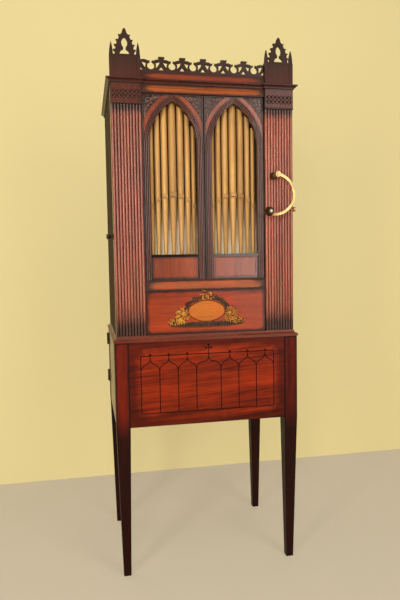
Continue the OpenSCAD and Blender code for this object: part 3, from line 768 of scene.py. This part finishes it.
class Shop:
    """Makes finishes once, and dresses pieces with them."""

    def __init__(self) -> None:
        """Builds the shared effects."""
        self.effects = Effects()
        self.made: dict[str, Material] = {}

    def material(self, finish: Finish) -> Material:
        """Makes a finish's material, or gives the one made before.

        Args:
            finish: the finish.

        Returns:
            Its material.
        """
        if finish.name not in self.made:
            self.made[finish.name] = finish.make(self.effects)
        return self.made[finish.name]

    def dress(self, finish: Finish, patterns: str) -> None:
        """Gives nodes of the frame a finish.

        Args:
            finish: the finish.
            patterns: the nodes' names with spaces between, where a star stands for any end.
        """
        for pattern in patterns.split():
            for name in fnmatch.filter(frame["nodes"], pattern):
                slots = frame["nodes"][name].data.materials
                slots.clear()
                slots.append(self.material(finish))
                LOG.info("dressed %s in %s", name, finish.name)

    def piece(self, name: str, bm: BMesh, finish: Finish, slot: str) -> None:
        """Turns a mesh in millimetres into a finished piece that rides on the case.

        Args:
            name: the piece's name.
            bm: the mesh, which is used up.
            finish: its finish.
            slot: the record's material slot, which is not used.
        """
        bmesh.ops.remove_doubles(bm, verts=bm.verts, dist=0.001)
        bmesh.ops.recalc_face_normals(bm, faces=bm.faces)
        bmesh.ops.scale(bm, vec=(MM, MM, MM), verts=bm.verts)
        piece = solid(name, bm, self.material(finish))
        piece.data.shade_smooth()
        piece.data.set_sharp_from_angle(angle=SHARP)
        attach(piece, BODY)
        LOG.info("made %s with %d faces", name, len(piece.data.polygons))


@dataclass(frozen=True)
class Span:
    """A node's box in millimetres."""

    low: Vector
    high: Vector

    @classmethod
    def of(cls, node: str) -> "Span":
        """Reads a node's box from the frame."""
        low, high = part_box(node)
        return cls(Vector(low) / MM, Vector(high) / MM)

    @property
    def middle(self) -> Vector:
        """The middle of the box."""
        return (self.low + self.high) / 2

    @property
    def size(self) -> Vector:
        """The lengths of the box's sides."""
        return self.high - self.low


class Chisel:
    """Cuts carved and inlaid shapes that lie on an upright face, x across and z up, in millimetres."""

    def __init__(self, face_y: float) -> None:
        """Starts an empty mesh for a face that lies at face_y, front to back."""
        self.bm = bmesh.new()
        self.face_y = face_y

    def sweep(
        self, path: Path, widths: Sequence[float], depth: float, sides: int = 8, closed: bool = False
    ) -> None:
        """Runs a flattened round section along a path on the face.

        Args:
            path: places along the path, x and z.
            widths: width of the section at each place.
            depth: how thick the section is, as a share of its width.
            sides: number of sides of the section.
            closed: whether the path ends where it starts.
        """
        last = len(path) - 1
        rings = []
        for i, ((x, z), width) in enumerate(zip(path, widths)):
            before = path[i - 1] if i or closed else path[0]
            after = path[(i + 1) % len(path)] if i < last or closed else path[last]
            heading = math.atan2(after[1] - before[1], after[0] - before[0])
            upright = Matrix.Rotation(math.pi / 2 - heading, 4, "Y")
            flat = Matrix.Diagonal((width / 2, width * depth / 2, 1, 1))
            place = Matrix.Translation((x, self.face_y, z)) @ upright @ flat
            ring = bmesh.ops.create_circle(self.bm, segments=sides, radius=1, matrix=place)["verts"]
            rings.append(list({edge for vert in ring for edge in vert.link_edges}))
        for near, far in zip(rings, rings[1:] + rings[:1] if closed else rings[1:]):
            bmesh.ops.bridge_loops(self.bm, edges=near + far)
        if not closed:
            bmesh.ops.edgeloop_fill(self.bm, edges=rings[0])
            bmesh.ops.edgeloop_fill(self.bm, edges=rings[-1])

    def line(self, path: Path, width: float, depth: float = 0.15, closed: bool = False) -> None:
        """Lays a low string line of even width along a path."""
        self.sweep(path, [width] * len(path), depth, 6, closed)

    def leaf(self, root: Place, angle: float, length: float, width: float, bend: float, depth: float) -> None:
        """Cuts a leaf that swells and comes to a point.

        Args:
            root: where the leaf starts.
            angle: its heading in degrees, counted from x up towards z.
            length: its length.
            width: its greatest width.
            bend: how many degrees it turns from root to tip.
            depth: its thickness as a share of its width.
        """
        steps = 7
        path, widths = [root], [width * 0.22]
        for i in range(1, steps + 1):
            path.append(around(path[-1], angle + bend * (i - 0.5) / steps, length / steps))
            swell = math.sin(math.pi * (i / steps) ** 0.8) ** 0.75 if i < steps else 0.0
            widths.append(width * max(swell, 0.06))
        self.sweep(path, widths, depth)

    def scroll(self, centre: Place, reach: float, start: float, turns: float, stem: float) -> None:
        """Cuts a scroll that winds in to an eye.

        Args:
            centre: the eye.
            reach: distance from the eye to where the scroll starts.
            start: angle in degrees at which it starts.
            turns: number of turns, less than zero to wind the other way.
            stem: width of the stem where it starts.
        """
        steps = max(8, round(abs(turns) * 18))
        shares = [i / steps for i in range(steps + 1)]
        path = [around(centre, start + 360 * turns * share, reach * (1 - 0.78 * share)) for share in shares]
        self.sweep(path, [stem * (1 - 0.45 * share) for share in shares], 1.0)
        self.berry(centre, stem * 0.72)

    def berry(self, centre: Place, radius: float, flat: float = 0.8) -> None:
        """Sets a low round berry on the face."""
        place = Matrix.Translation((centre[0], self.face_y, centre[1])) @ Matrix.Diagonal((1, flat, 1, 1))
        bmesh.ops.create_uvsphere(self.bm, u_segments=10, v_segments=7, radius=radius, matrix=place)

    def whole(self) -> list[BMVert | BMEdge | BMFace]:
        """Lists all that is cut so far."""
        return self.bm.verts[:] + self.bm.edges[:] + self.bm.faces[:]

    def move(self, matrix: Matrix) -> None:
        """Moves all that is cut so far."""
        bmesh.ops.transform(self.bm, matrix=matrix, verts=self.bm.verts)

    def repeat(self, *moves: Matrix) -> None:
        """Adds moved copies of all that is cut so far.

        Args:
            *moves: where each copy goes.
        """
        whole = self.whole()
        for move in moves:
            copy = bmesh.ops.duplicate(self.bm, geom=whole)["geom"]
            verts = [part for part in copy if isinstance(part, BMVert)]
            bmesh.ops.transform(self.bm, matrix=move, verts=verts)


@dataclass(frozen=True)
class Work(ABC):
    """Pieces that only the scene has, and the shop that finishes them."""

    shop: Shop

    @abstractmethod
    def make(self) -> None:
        """Makes the pieces."""


@dataclass(frozen=True)
class Sill(Work):
    """The two panels under the pipes: their place, and a thin string line near their border."""

    half_w: float = 79.0
    line_in: float = 9.0
    line_w: float = 1.1
    corner_r: float = 7.0

    @classmethod
    def panel(cls) -> tuple[Vector, Vector]:
        """Works out where the right panel lies.

        Returns:
            Its lowest and highest corner in metres.
        """
        board, ledge = Span.of("arch_frame_right"), Span.of("pipe_ledge")
        reach = Vector((cls.half_w, 0, 0))
        low = Vector((board.middle.x, board.low.y, board.low.z)) - reach
        high = Vector((board.middle.x, board.high.y, ledge.high.z)) + reach
        return low * MM, high * MM

    def make(self) -> None:
        """Lays the string lines."""
        low, high = (corner / MM for corner in self.panel())
        inset = self.line_in + self.corner_r
        west, east, foot, top = low.x + inset, high.x - inset, low.z + inset, high.z - inset
        eyes = ((east, top), (west, top), (west, foot), (east, foot))
        path = [
            around(eye, 90 * quarter + 22.5 * step, self.corner_r)
            for quarter, eye in enumerate(eyes)
            for step in range(5)
        ]
        chisel = Chisel(low.y)
        chisel.line(path, self.line_w, 0.2, closed=True)
        chisel.repeat(Matrix.Translation((-low.x - high.x, 0, 0)))
        self.shop.piece("sill_stringing", chisel.bm, STRING_LINE, "dark_mahogany")


@dataclass(frozen=True)
class Spandrels(Work):
    """Scrolling foliage carved in the sunk corners over the two arches.

    The places in a corner are counted from its outer corner.
    """

    rim: float = 4.0
    ground: float = 3.0
    proud: float = 0.6
    stem: float = 4.0
    arc_shift: float = 82.0
    arc_r: float = 193.0
    arc_drop: float = 161.0
    rim_gap: float = 0.6
    arc_gap: float = 0.8
    splay: float = 62.0
    frond_leaf_w: float = 4.0
    scroll_leaf_w: float = 4.6
    bud_r: float = 1.5
    berry_r: float = 2.3

    def leaflet(self, chisel: Chisel, root: Place, angle: float, length: float, width: float) -> None:
        """Cuts a leaf that is shortened until it fits the pocket.

        Args:
            chisel: what cuts it.
            root: where it starts.
            angle: its heading in degrees.
            length: its length at most.
            width: its greatest width.
        """
        half = Span.of("arch_frame_right").size.x / 2 - self.rim
        for share in (1.0, 0.8, 0.62, 0.45):
            x, z = around(root, angle, length * share)
            out = math.hypot(half + x + self.arc_shift, self.arc_drop - self.rim + z)
            if max(x, z) < -self.rim_gap and out > self.arc_r + self.arc_gap:
                chisel.leaf(root, angle, length * share, width * (0.5 + share / 2), 24, 0.85)
                return

    def frond(self, chisel: Chisel, path: Path, reach: float) -> None:
        """Cuts a stem with leaves to both sides.

        Args:
            chisel: what cuts it.
            path: places along the stem.
            reach: length of its leaves.
        """
        last = len(path) - 1
        chisel.sweep(path, [self.stem * (0.45 + 0.4 * i / last) for i in range(last + 1)], 1.0)
        for i, (near, far) in enumerate(zip(path, path[1:])):
            heading = math.degrees(math.atan2(far[1] - near[1], far[0] - near[0]))
            for splay in (-self.splay, self.splay):
                self.leaflet(chisel, near, heading + splay, reach, self.frond_leaf_w)
            if i % 2:
                chisel.berry(near, self.bud_r)

    def corner(self, chisel: Chisel) -> None:
        """Carves one corner at the origin: two fronds, three scrolls with leaves, and berries.

        Args:
            chisel: what cuts it.
        """
        self.frond(chisel, ((-4.4, -80), (-6, -70), (-7.6, -62), (-6, -55)), 9)
        self.frond(chisel, ((-62, -4.4), (-53, -6), (-47, -8.4), (-45, -12)), 8)
        for eye, reach, start, turns in (
            ((-17, -18), 12.5, 260, -1.3),
            ((-9.8, -46.5), 7.0, 280, 1.2),
            ((-38, -9.4), 6.6, 170, -1.2),
        ):
            chisel.scroll(eye, reach, start, turns, self.stem * (0.7 + reach / 36))
            for turn in range(start, start + 360, 60):
                self.leaflet(chisel, around(eye, turn, reach), turn + 35, reach * 0.7, self.scroll_leaf_w)
        for place in ((-4, -4), (-31, -25), (-4.2, -34), (-20, -36), (-52, -4)):
            chisel.berry(place, self.berry_r)

    def make(self) -> None:
        """Carves all four corners."""
        right, left = Span.of("arch_frame_right"), Span.of("arch_frame_left")
        chisel = Chisel(right.low.y + self.ground - self.proud)
        self.corner(chisel)
        chisel.move(Matrix.Translation((right.size.x / 2 - self.rim, 0, right.high.z - self.rim)))
        chisel.repeat(Matrix.Diagonal((-1, 1, 1, 1)))
        chisel.move(Matrix.Translation((right.middle.x, 0, 0)))
        chisel.repeat(Matrix.Translation((left.middle.x - right.middle.x, 0, 0)))
        self.shop.piece("spandrel_carving", chisel.bm, CARVED_MAHOGANY, "dark_mahogany")


@dataclass(frozen=True)
class Marquetry(Work):
    """Inlay round the bare oval: a banding, dark leaves over and under it, and pale bunches and flowers."""

    band_w: float = 2.4
    band_in: float = 1.5
    ground_w: float = 246.0
    ground_drop: float = 3.5
    wreath_low: float = 14.0
    wreath_high: float = 76.0
    wreath_gap: float = 1.5
    wreath_w: float = 9.0
    wreath_leaves: int = 44
    ground_leaves: int = 42
    dark_t: float = 0.09
    pale_t: float = 0.12
    petal_t: float = 0.16
    pale_proud: float = 0.12
    brown_proud: float = 0.08

    def outline(self, middle: Vector, width: float, height: float) -> list[Place]:
        """Draws the oval of two end arcs and two long arcs.

        Args:
            middle: the oval's middle.
            width: its width.
            height: its height.

        Returns:
            Places along the oval, x and z.
        """
        steps = 64
        end_r = height * 0.32
        reach = width / 2 - end_r
        long_r = (reach**2 + height**2 / 4 - end_r**2) / (height - 2 * end_r)
        drop = long_r - height / 2
        path = []
        for i in range(steps):
            turn = 360 * i / steps
            cos, sin = around((0, 0), turn, 1)
            ended = abs(sin) * reach < abs(cos) * drop
            x, z = (math.copysign(reach, cos), 0) if ended else (0, -math.copysign(drop, sin))
            path.append(around((middle.x + x, middle.z + z), turn, end_r if ended else long_r))
        return path

    def make(self) -> None:
        """Lays all of the inlay."""
        plate, face = Span.of("oval_plate"), Span.of("base_panel").low.y
        band = Chisel(plate.low.y)
        inset = 2 * self.band_in
        rim = self.outline(plate.middle, plate.size.x - inset, plate.size.z - inset)
        band.line(rim, self.band_w, 0.14, closed=True)
        self.shop.piece("oval_banding", band.bm, STRING_LINE, "dark_mahogany")
        green = Chisel(face)
        self.leaves(green, plate)
        self.shop.piece("marquetry_leaves", green.bm, GREEN_INLAY, "dark_mahogany")
        pale, brown = Chisel(face - self.pale_proud), Chisel(face - self.brown_proud)
        self.sprays(pale, brown, plate)
        self.shop.piece("marquetry_sprays", pale.bm, PALE_INLAY, "satinwood")
        self.shop.piece("marquetry_shadows", brown.bm, BROWN_INLAY, "dark_mahogany")

    def leaves(self, green: Chisel, plate: Span) -> None:
        """Lays the dark leaves: a wreath over the oval and a ground under it.

        Args:
            green: what lays them.
            plate: the oval's box.
        """
        middle = (plate.middle.x, plate.middle.z)
        for side in (-1, 1):
            for i in range(self.wreath_leaves):
                climb = (self.wreath_high - self.wreath_low) * i / (self.wreath_leaves - 1)
                turn = 90 - side * (90 - self.wreath_low - climb)
                out = self.wreath_gap + self.wreath_w * (i * 11 % 7) / 6
                root = around(middle, turn, plate.size.x / 2 + out, plate.size.z / 2 + out)
                heading = turn - 70 + 140 * (i * 5 % 8) / 7
                green.leaf(root, heading, 8 + 5 * (i * 3 % 4) / 3, 5.8, 20, self.dark_t)
        base_z = plate.low.z - self.ground_drop
        for i in range(self.ground_leaves):
            share = 2 * (i + 0.5) / self.ground_leaves - 1
            swell = math.sqrt(1 - share * share)
            x = plate.middle.x + share * self.ground_w / 2
            tilt = 14 + 22 * (i * 5 % 4) / 3
            for hand, heading in ((-1, 180 - tilt), (1, tilt)):
                upper, lower = (x, base_z - swell * 5 + 2 * hand), (x, base_z - swell * 4)
                green.leaf(upper, heading, 12 + 6 * swell, 6.4, -16 * hand, self.dark_t)
                green.leaf(lower, -heading * 0.7, 9 + 5 * swell, 5.6, 10 * hand, self.dark_t)

    def sprays(self, pale: Chisel, brown: Chisel, plate: Span) -> None:
        """Lays two bunches and two flowers on each side, and two bunches and a flower on top.

        Args:
            pale: what lays the light leaves.
            brown: what lays the dark ones.
            plate: the oval's box.
        """
        x, foot, top = plate.middle.x, plate.low.z - 2, plate.high.z
        layers = (pale, brown)
        for side, shadow_every in ((-1, 3), (1, 2)):
            self.bunch(layers, (x + side * 84, foot + 24), (19, 23), 90, shadow_every)
            self.bunch(layers, (x + side * 107, foot + 4), (20, 6), 36, shadow_every)
            self.flower(pale, (x + side * 80, foot + 31), 8)
            self.flower(pale, (x + side * 90, foot + 12), 7)
        self.bunch(layers, (x, top + 13), (23, 9), 30, 2)
        self.bunch(layers, (x, top + 22), (13, 9), 16, 2)
        self.flower(pale, (x, top + 13), 6)

    def bunch(
        self, layers: Sequence[Chisel], centre: Place, reach: Place, count: int, shadow_every: int
    ) -> None:
        """Lays a bunch of small leaves that point outwards, light and dark in turn.

        Args:
            layers: what lays the light leaves and what lays the dark ones.
            centre: the bunch's middle.
            reach: half its width and half its height.
            count: number of leaves.
            shadow_every: one leaf in this many is dark.
        """
        golden = 180 * (3 - math.sqrt(5))
        for i in range(count):
            out = math.sqrt((i + 0.5) / count)
            root = around(centre, i * golden, reach[0] * out, reach[1] * out)
            heading = i * golden + 35 * math.sin(i * 2.3)
            layer = layers[1] if i % shadow_every == 1 else layers[0]
            layer.leaf(root, heading, 6 + 3.5 * out, 3.8, 25, self.pale_t)

    def flower(self, pale: Chisel, centre: Place, reach: float) -> None:
        """Lays a flower of six petals.

        Args:
            pale: what lays it.
            centre: its middle.
            reach: length of its petals.
        """
        for turn in range(12, 372, 60):
            pale.leaf(centre, turn, reach, reach * 0.5, 10, self.petal_t)
        pale.berry(centre, reach * 0.22, 0.4)


@dataclass(frozen=True)
class StandStringing(Work):
    """Dark string lines on the stand's front: a frame and a row of seven ogee arches with finials."""

    line_w: float = 3.4
    finial_w: float = 3.06
    knot_r: float = 2.3
    side_in: float = 38.0
    top_in: float = 47.0
    foot_in: float = 44.0
    centre_half: float = 42.0
    columns: int = 3
    spring_drop: float = 52.0
    lower_r: float = 25.0
    tip_drop: float = 9.0
    short_up: float = 2.0
    tall_up: float = 28.0
    arm_up: float = 19.0
    arm_half: float = 10.0

    def ogee(self, foot: Place, tip: Place) -> list[Place]:
        """Draws one half of an ogee arch.

        Args:
            foot: where it springs.
            tip: its point.

        Returns:
            Places along it, x and z.
        """
        steps = 7
        span, rise = abs(tip[0] - foot[0]), tip[1] - foot[1]
        hand = math.copysign(1, tip[0] - foot[0])
        lower_r, upper_r = self.lower_r, (span**2 + rise**2) / (2 * span) - self.lower_r
        bend = math.degrees(math.atan2(rise, span - upper_r - lower_r)) - 180
        path = [around((lower_r - span, 0), 180 + bend * i / steps, lower_r) for i in range(steps + 1)]
        path += [around((-upper_r, rise), bend * i / steps, upper_r) for i in reversed(range(steps))]
        return [(tip[0] + hand * x, foot[1] + z) for x, z in path]

    def make(self) -> None:
        """Lays the lines."""
        panel = Span.of("stand_front_panel")
        chisel = Chisel(panel.low.y)
        left, right = panel.low.x + self.side_in, panel.high.x - self.side_in
        foot, top = panel.low.z + self.foot_in, panel.high.z - self.top_in
        border = [(left, foot), (right, foot), (right, top), (left, top)]
        for start, end in zip(border, border[1:] + border[:1]):
            chisel.line([start, end], self.line_w)
        spring = top - self.spring_drop
        pitch = (right - self.centre_half) / self.columns
        posts = [side * (self.centre_half + pitch * i) for side in (-1, 1) for i in range(self.columns)]
        knots = [(x, spring) for x in posts]
        for x in posts:
            chisel.line([(x, foot), (x, spring)], self.line_w)
        edges = sorted([left, right, *posts])
        for west, east in zip(edges, edges[1:]):
            middle = (west + east) / 2
            tip = (middle, top - self.tip_drop)
            for edge in (west, east):
                chisel.line(self.ogee((edge, spring), tip), self.line_w)
            tall = abs(middle) < 1
            head = top + (self.tall_up if tall else self.short_up)
            chisel.line([tip, (middle, head)], self.finial_w)
            knots += [(middle, head + 3), (middle - 2.6, head + 0.6), (middle + 2.6, head + 0.6)]
            if tall:
                arm_z = top + self.arm_up
                arm = [(middle + side * self.arm_half, arm_z) for side in (-1, 1)]
                chisel.line(arm, self.finial_w)
                knots += [(x, z + rise) for x, z in arm for rise in (-2.2, 2.2)]
        for knot in knots:
            chisel.berry(knot, self.knot_r, 0.1)
        self.shop.piece("stand_stringing", chisel.bm, STRING_LINE, "dark_mahogany")


@dataclass(frozen=True)
class HingeScrews(Work):
    """Slotted screws in the two rear hinges."""

    head_r: float = 2.2
    head_h: float = 0.7
    slot_w: float = 0.7
    taper: float = 0.82
    turn_per_mm: float = 0.9
    leaf_l: float = 46.0
    leaf_t: float = 1.5
    end_in: float = 7.0
    leg_side: float = 11.0
    door_side: float = 7.5

    def head(self) -> Chisel:
        """Cuts one head at the origin: a thin disc that carries two half discs with a slot between.

        Returns:
            The chisel that cut it.
        """
        head = Chisel(0.0)
        thin = self.head_h / 2
        disc = {"cap_ends": True, "segments": 18, "radius1": self.head_r, "depth": thin}
        raised = Matrix.Translation((0, 0, thin))
        bmesh.ops.create_cone(head.bm, radius2=self.head_r * self.taper, matrix=raised, **disc)
        plane = {"plane_co": (self.slot_w / 2, 0, 0), "plane_no": (-1, 0, 0)}
        cut = bmesh.ops.bisect_plane(head.bm, geom=head.whole(), clear_outer=True, **plane)["geom_cut"]
        bmesh.ops.edgeloop_fill(head.bm, edges=[part for part in cut if isinstance(part, BMEdge)])
        head.repeat(Matrix.Diagonal((-1, 1, 1, 1)))
        bmesh.ops.create_cone(head.bm, radius2=self.head_r, **disc)
        return head

    def make(self) -> None:
        """Sets six screws in each hinge."""
        hinges, door = Span.of("back_hinges"), Span.of("stand_back_door").low
        places = []
        for foot in (hinges.low.z, hinges.high.z - self.leaf_l):
            for rise in (self.end_in, self.leaf_l / 2, self.leaf_l - self.end_in):
                turned = Matrix.Rotation(rise * self.turn_per_mm, 4, "Z")
                turn = Matrix.Rotation(math.radians(-90), 4, "Y") @ turned
                for y in (door.y - self.leg_side, door.y + self.door_side):
                    places.append(Matrix.Translation((door.x - self.leaf_t, y, foot + rise)) @ turn)
        head = self.head()
        head.move(places[0])
        head.repeat(*(place @ places[0].inverted() for place in places[1:]))
        self.shop.piece("hinge_screws", head.bm, OLD_BRASS, "brass")


@dataclass(frozen=True)
class Lamp:
    """A soft rectangular lamp, in metres and watts, that lights a point on the case's middle line."""

    name: str
    place: tuple[float, float, float]
    aim_z: float
    power: float
    width: float
    height: float

    def hang(self) -> None:
        """Adds the lamp to the scene."""
        light = bpy.data.lights.new(self.name, "AREA")
        light.energy = self.power
        light.color = (1.0, 0.95, 0.88)
        light.shape = "RECTANGLE"
        light.size = self.width
        light.size_y = self.height
        lamp = show(self.name, light)
        lamp.location = self.place
        away = Vector((0, 0, self.aim_z)) - Vector(self.place)
        lamp.rotation_euler = away.to_track_quat("-Z", "Y").to_euler()


LAMPS = (
    Lamp("right_window", (1.3, -3.0, 1.55), 1.25, 36, 1.3, 2.2),
    Lamp("left_window", (-1.8, -2.3, 1.45), 1.2, 28, 0.5, 1.5),
    Lamp("fill", (-0.85, -3.0, 1.75), 1.1, 26, 0.8, 1.2),
    Lamp("top", (0.2, -1.2, 3.0), 1.2, 10, 1.2, 1.2),
)


@dataclass(frozen=True)
class Studio:
    """Camera, floor, backdrop, lamps and a weak warm sky."""

    eye: tuple[float, float, float] = (-0.3971, -2.0371, 1.0615)
    yaw: float = 11.35
    pitch: float = 4.15
    roll: float = -0.93
    focal_pixels: float = 568.3
    picture_h: float = 600.0
    sensor: float = 36.0
    wall_y: float = 0.75
    floor_z: float = -0.0005
    shown: float = 0.45
    sky: tuple[float, float, float, float] = (1.0, 0.86, 0.68, 1.0)
    sky_strength: float = 0.14

    def camera(self) -> None:
        """Places the camera where the picture was taken from."""
        lens = bpy.data.cameras.new("camera")
        lens.sensor_width = self.sensor
        lens.lens = self.focal_pixels * self.sensor / self.picture_h
        lens.clip_start = 0.05
        camera = show("camera", lens)
        turns = ((-self.yaw, "Z"), (90 - self.pitch, "X"), (self.roll, "Z"))
        yaw, pitch, roll = (Matrix.Rotation(math.radians(turn), 4, axis) for turn, axis in turns)
        camera.matrix_world = Matrix.Translation(self.eye) @ yaw @ pitch @ roll
        bpy.context.scene.camera = camera

    def paint(self, name: str, code: str) -> Material:
        """Makes a plain paint that stays pale in the picture and is clear from behind.

        Args:
            name: the material's name.
            code: the colour.

        Returns:
            The material.
        """
        g = Coat(name)
        colour = linear(code)
        tone = g.mix(g.clouds(g.place, 3, 3, 0.55, 0.3, 0.7), colour, (0.9, 0.84, 0.7, 1), "MULTIPLY")
        g.colour = g.mix(0.1, colour, tone)
        material = g.close(0.9)
        nodes = g.tree.nodes
        plain = g.add("Emission", {"Color": colour, "Strength": 1.0})
        seen = g.add("LightPath").outputs
        mirrored = g.plus(seen["Is Glossy Ray"], seen["Is Transmission Ray"])
        share = g.times(g.plus(seen["Is Camera Ray"], mirrored, clamp=True), self.shown)
        front = g.add("MixShader", {0: share, 1: nodes["Principled BSDF"].outputs[0], 2: plain.outputs[0]})
        behind = g.add("NewGeometry").outputs["Backfacing"]
        clear = g.add("BsdfTransparent")
        sheet = g.add("MixShader", {0: behind, 1: front.outputs[0], 2: clear.outputs[0]})
        g.feed(nodes["Material Output"], {0: sheet.outputs[0]})
        return material

    def room(self) -> None:
        """Builds the pale floor and backdrop."""
        for name, place, turn, code in (
            ("floor", (0, 0, self.floor_z), 0.0, "DDD0B6"),
            ("backdrop", (0, self.wall_y, 0), math.pi / 2, "F8E6A6"),
        ):
            bm = bmesh.new()
            spin = Matrix.Translation(place) @ Matrix.Rotation(turn, 4, "X")
            bmesh.ops.create_grid(bm, x_segments=1, y_segments=1, size=6, matrix=spin)
            solid(name, bm, self.paint(f"{name}_paint", code))

    def build(self) -> None:
        """Builds the whole studio."""
        scene = bpy.context.scene
        scene.view_settings.view_transform = "Standard"
        scene.world = bpy.data.worlds.new("studio")
        scene.world.use_nodes = True
        sky = {0: self.sky, 1: self.sky_strength}
        Graph(scene.world.node_tree).feed(scene.world.node_tree.nodes["Background"], sky)
        self.camera()
        self.room()
        for lamp in LAMPS:
            lamp.hang()


def main() -> None:
    """Builds the looks in order: studio, finishes, then each sub-assembly."""
    logging.basicConfig(level=logging.INFO, format="%(name)s: %(message)s")
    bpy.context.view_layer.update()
    shop = Shop()
    Studio().build()
    for finish, patterns in DRESS.items():
        shop.dress(finish, patterns)
    for work in (Spandrels, Sill, Marquetry, StandStringing, HingeScrews):
        work(shop).make()


if __name__ == "__main__":
    main()
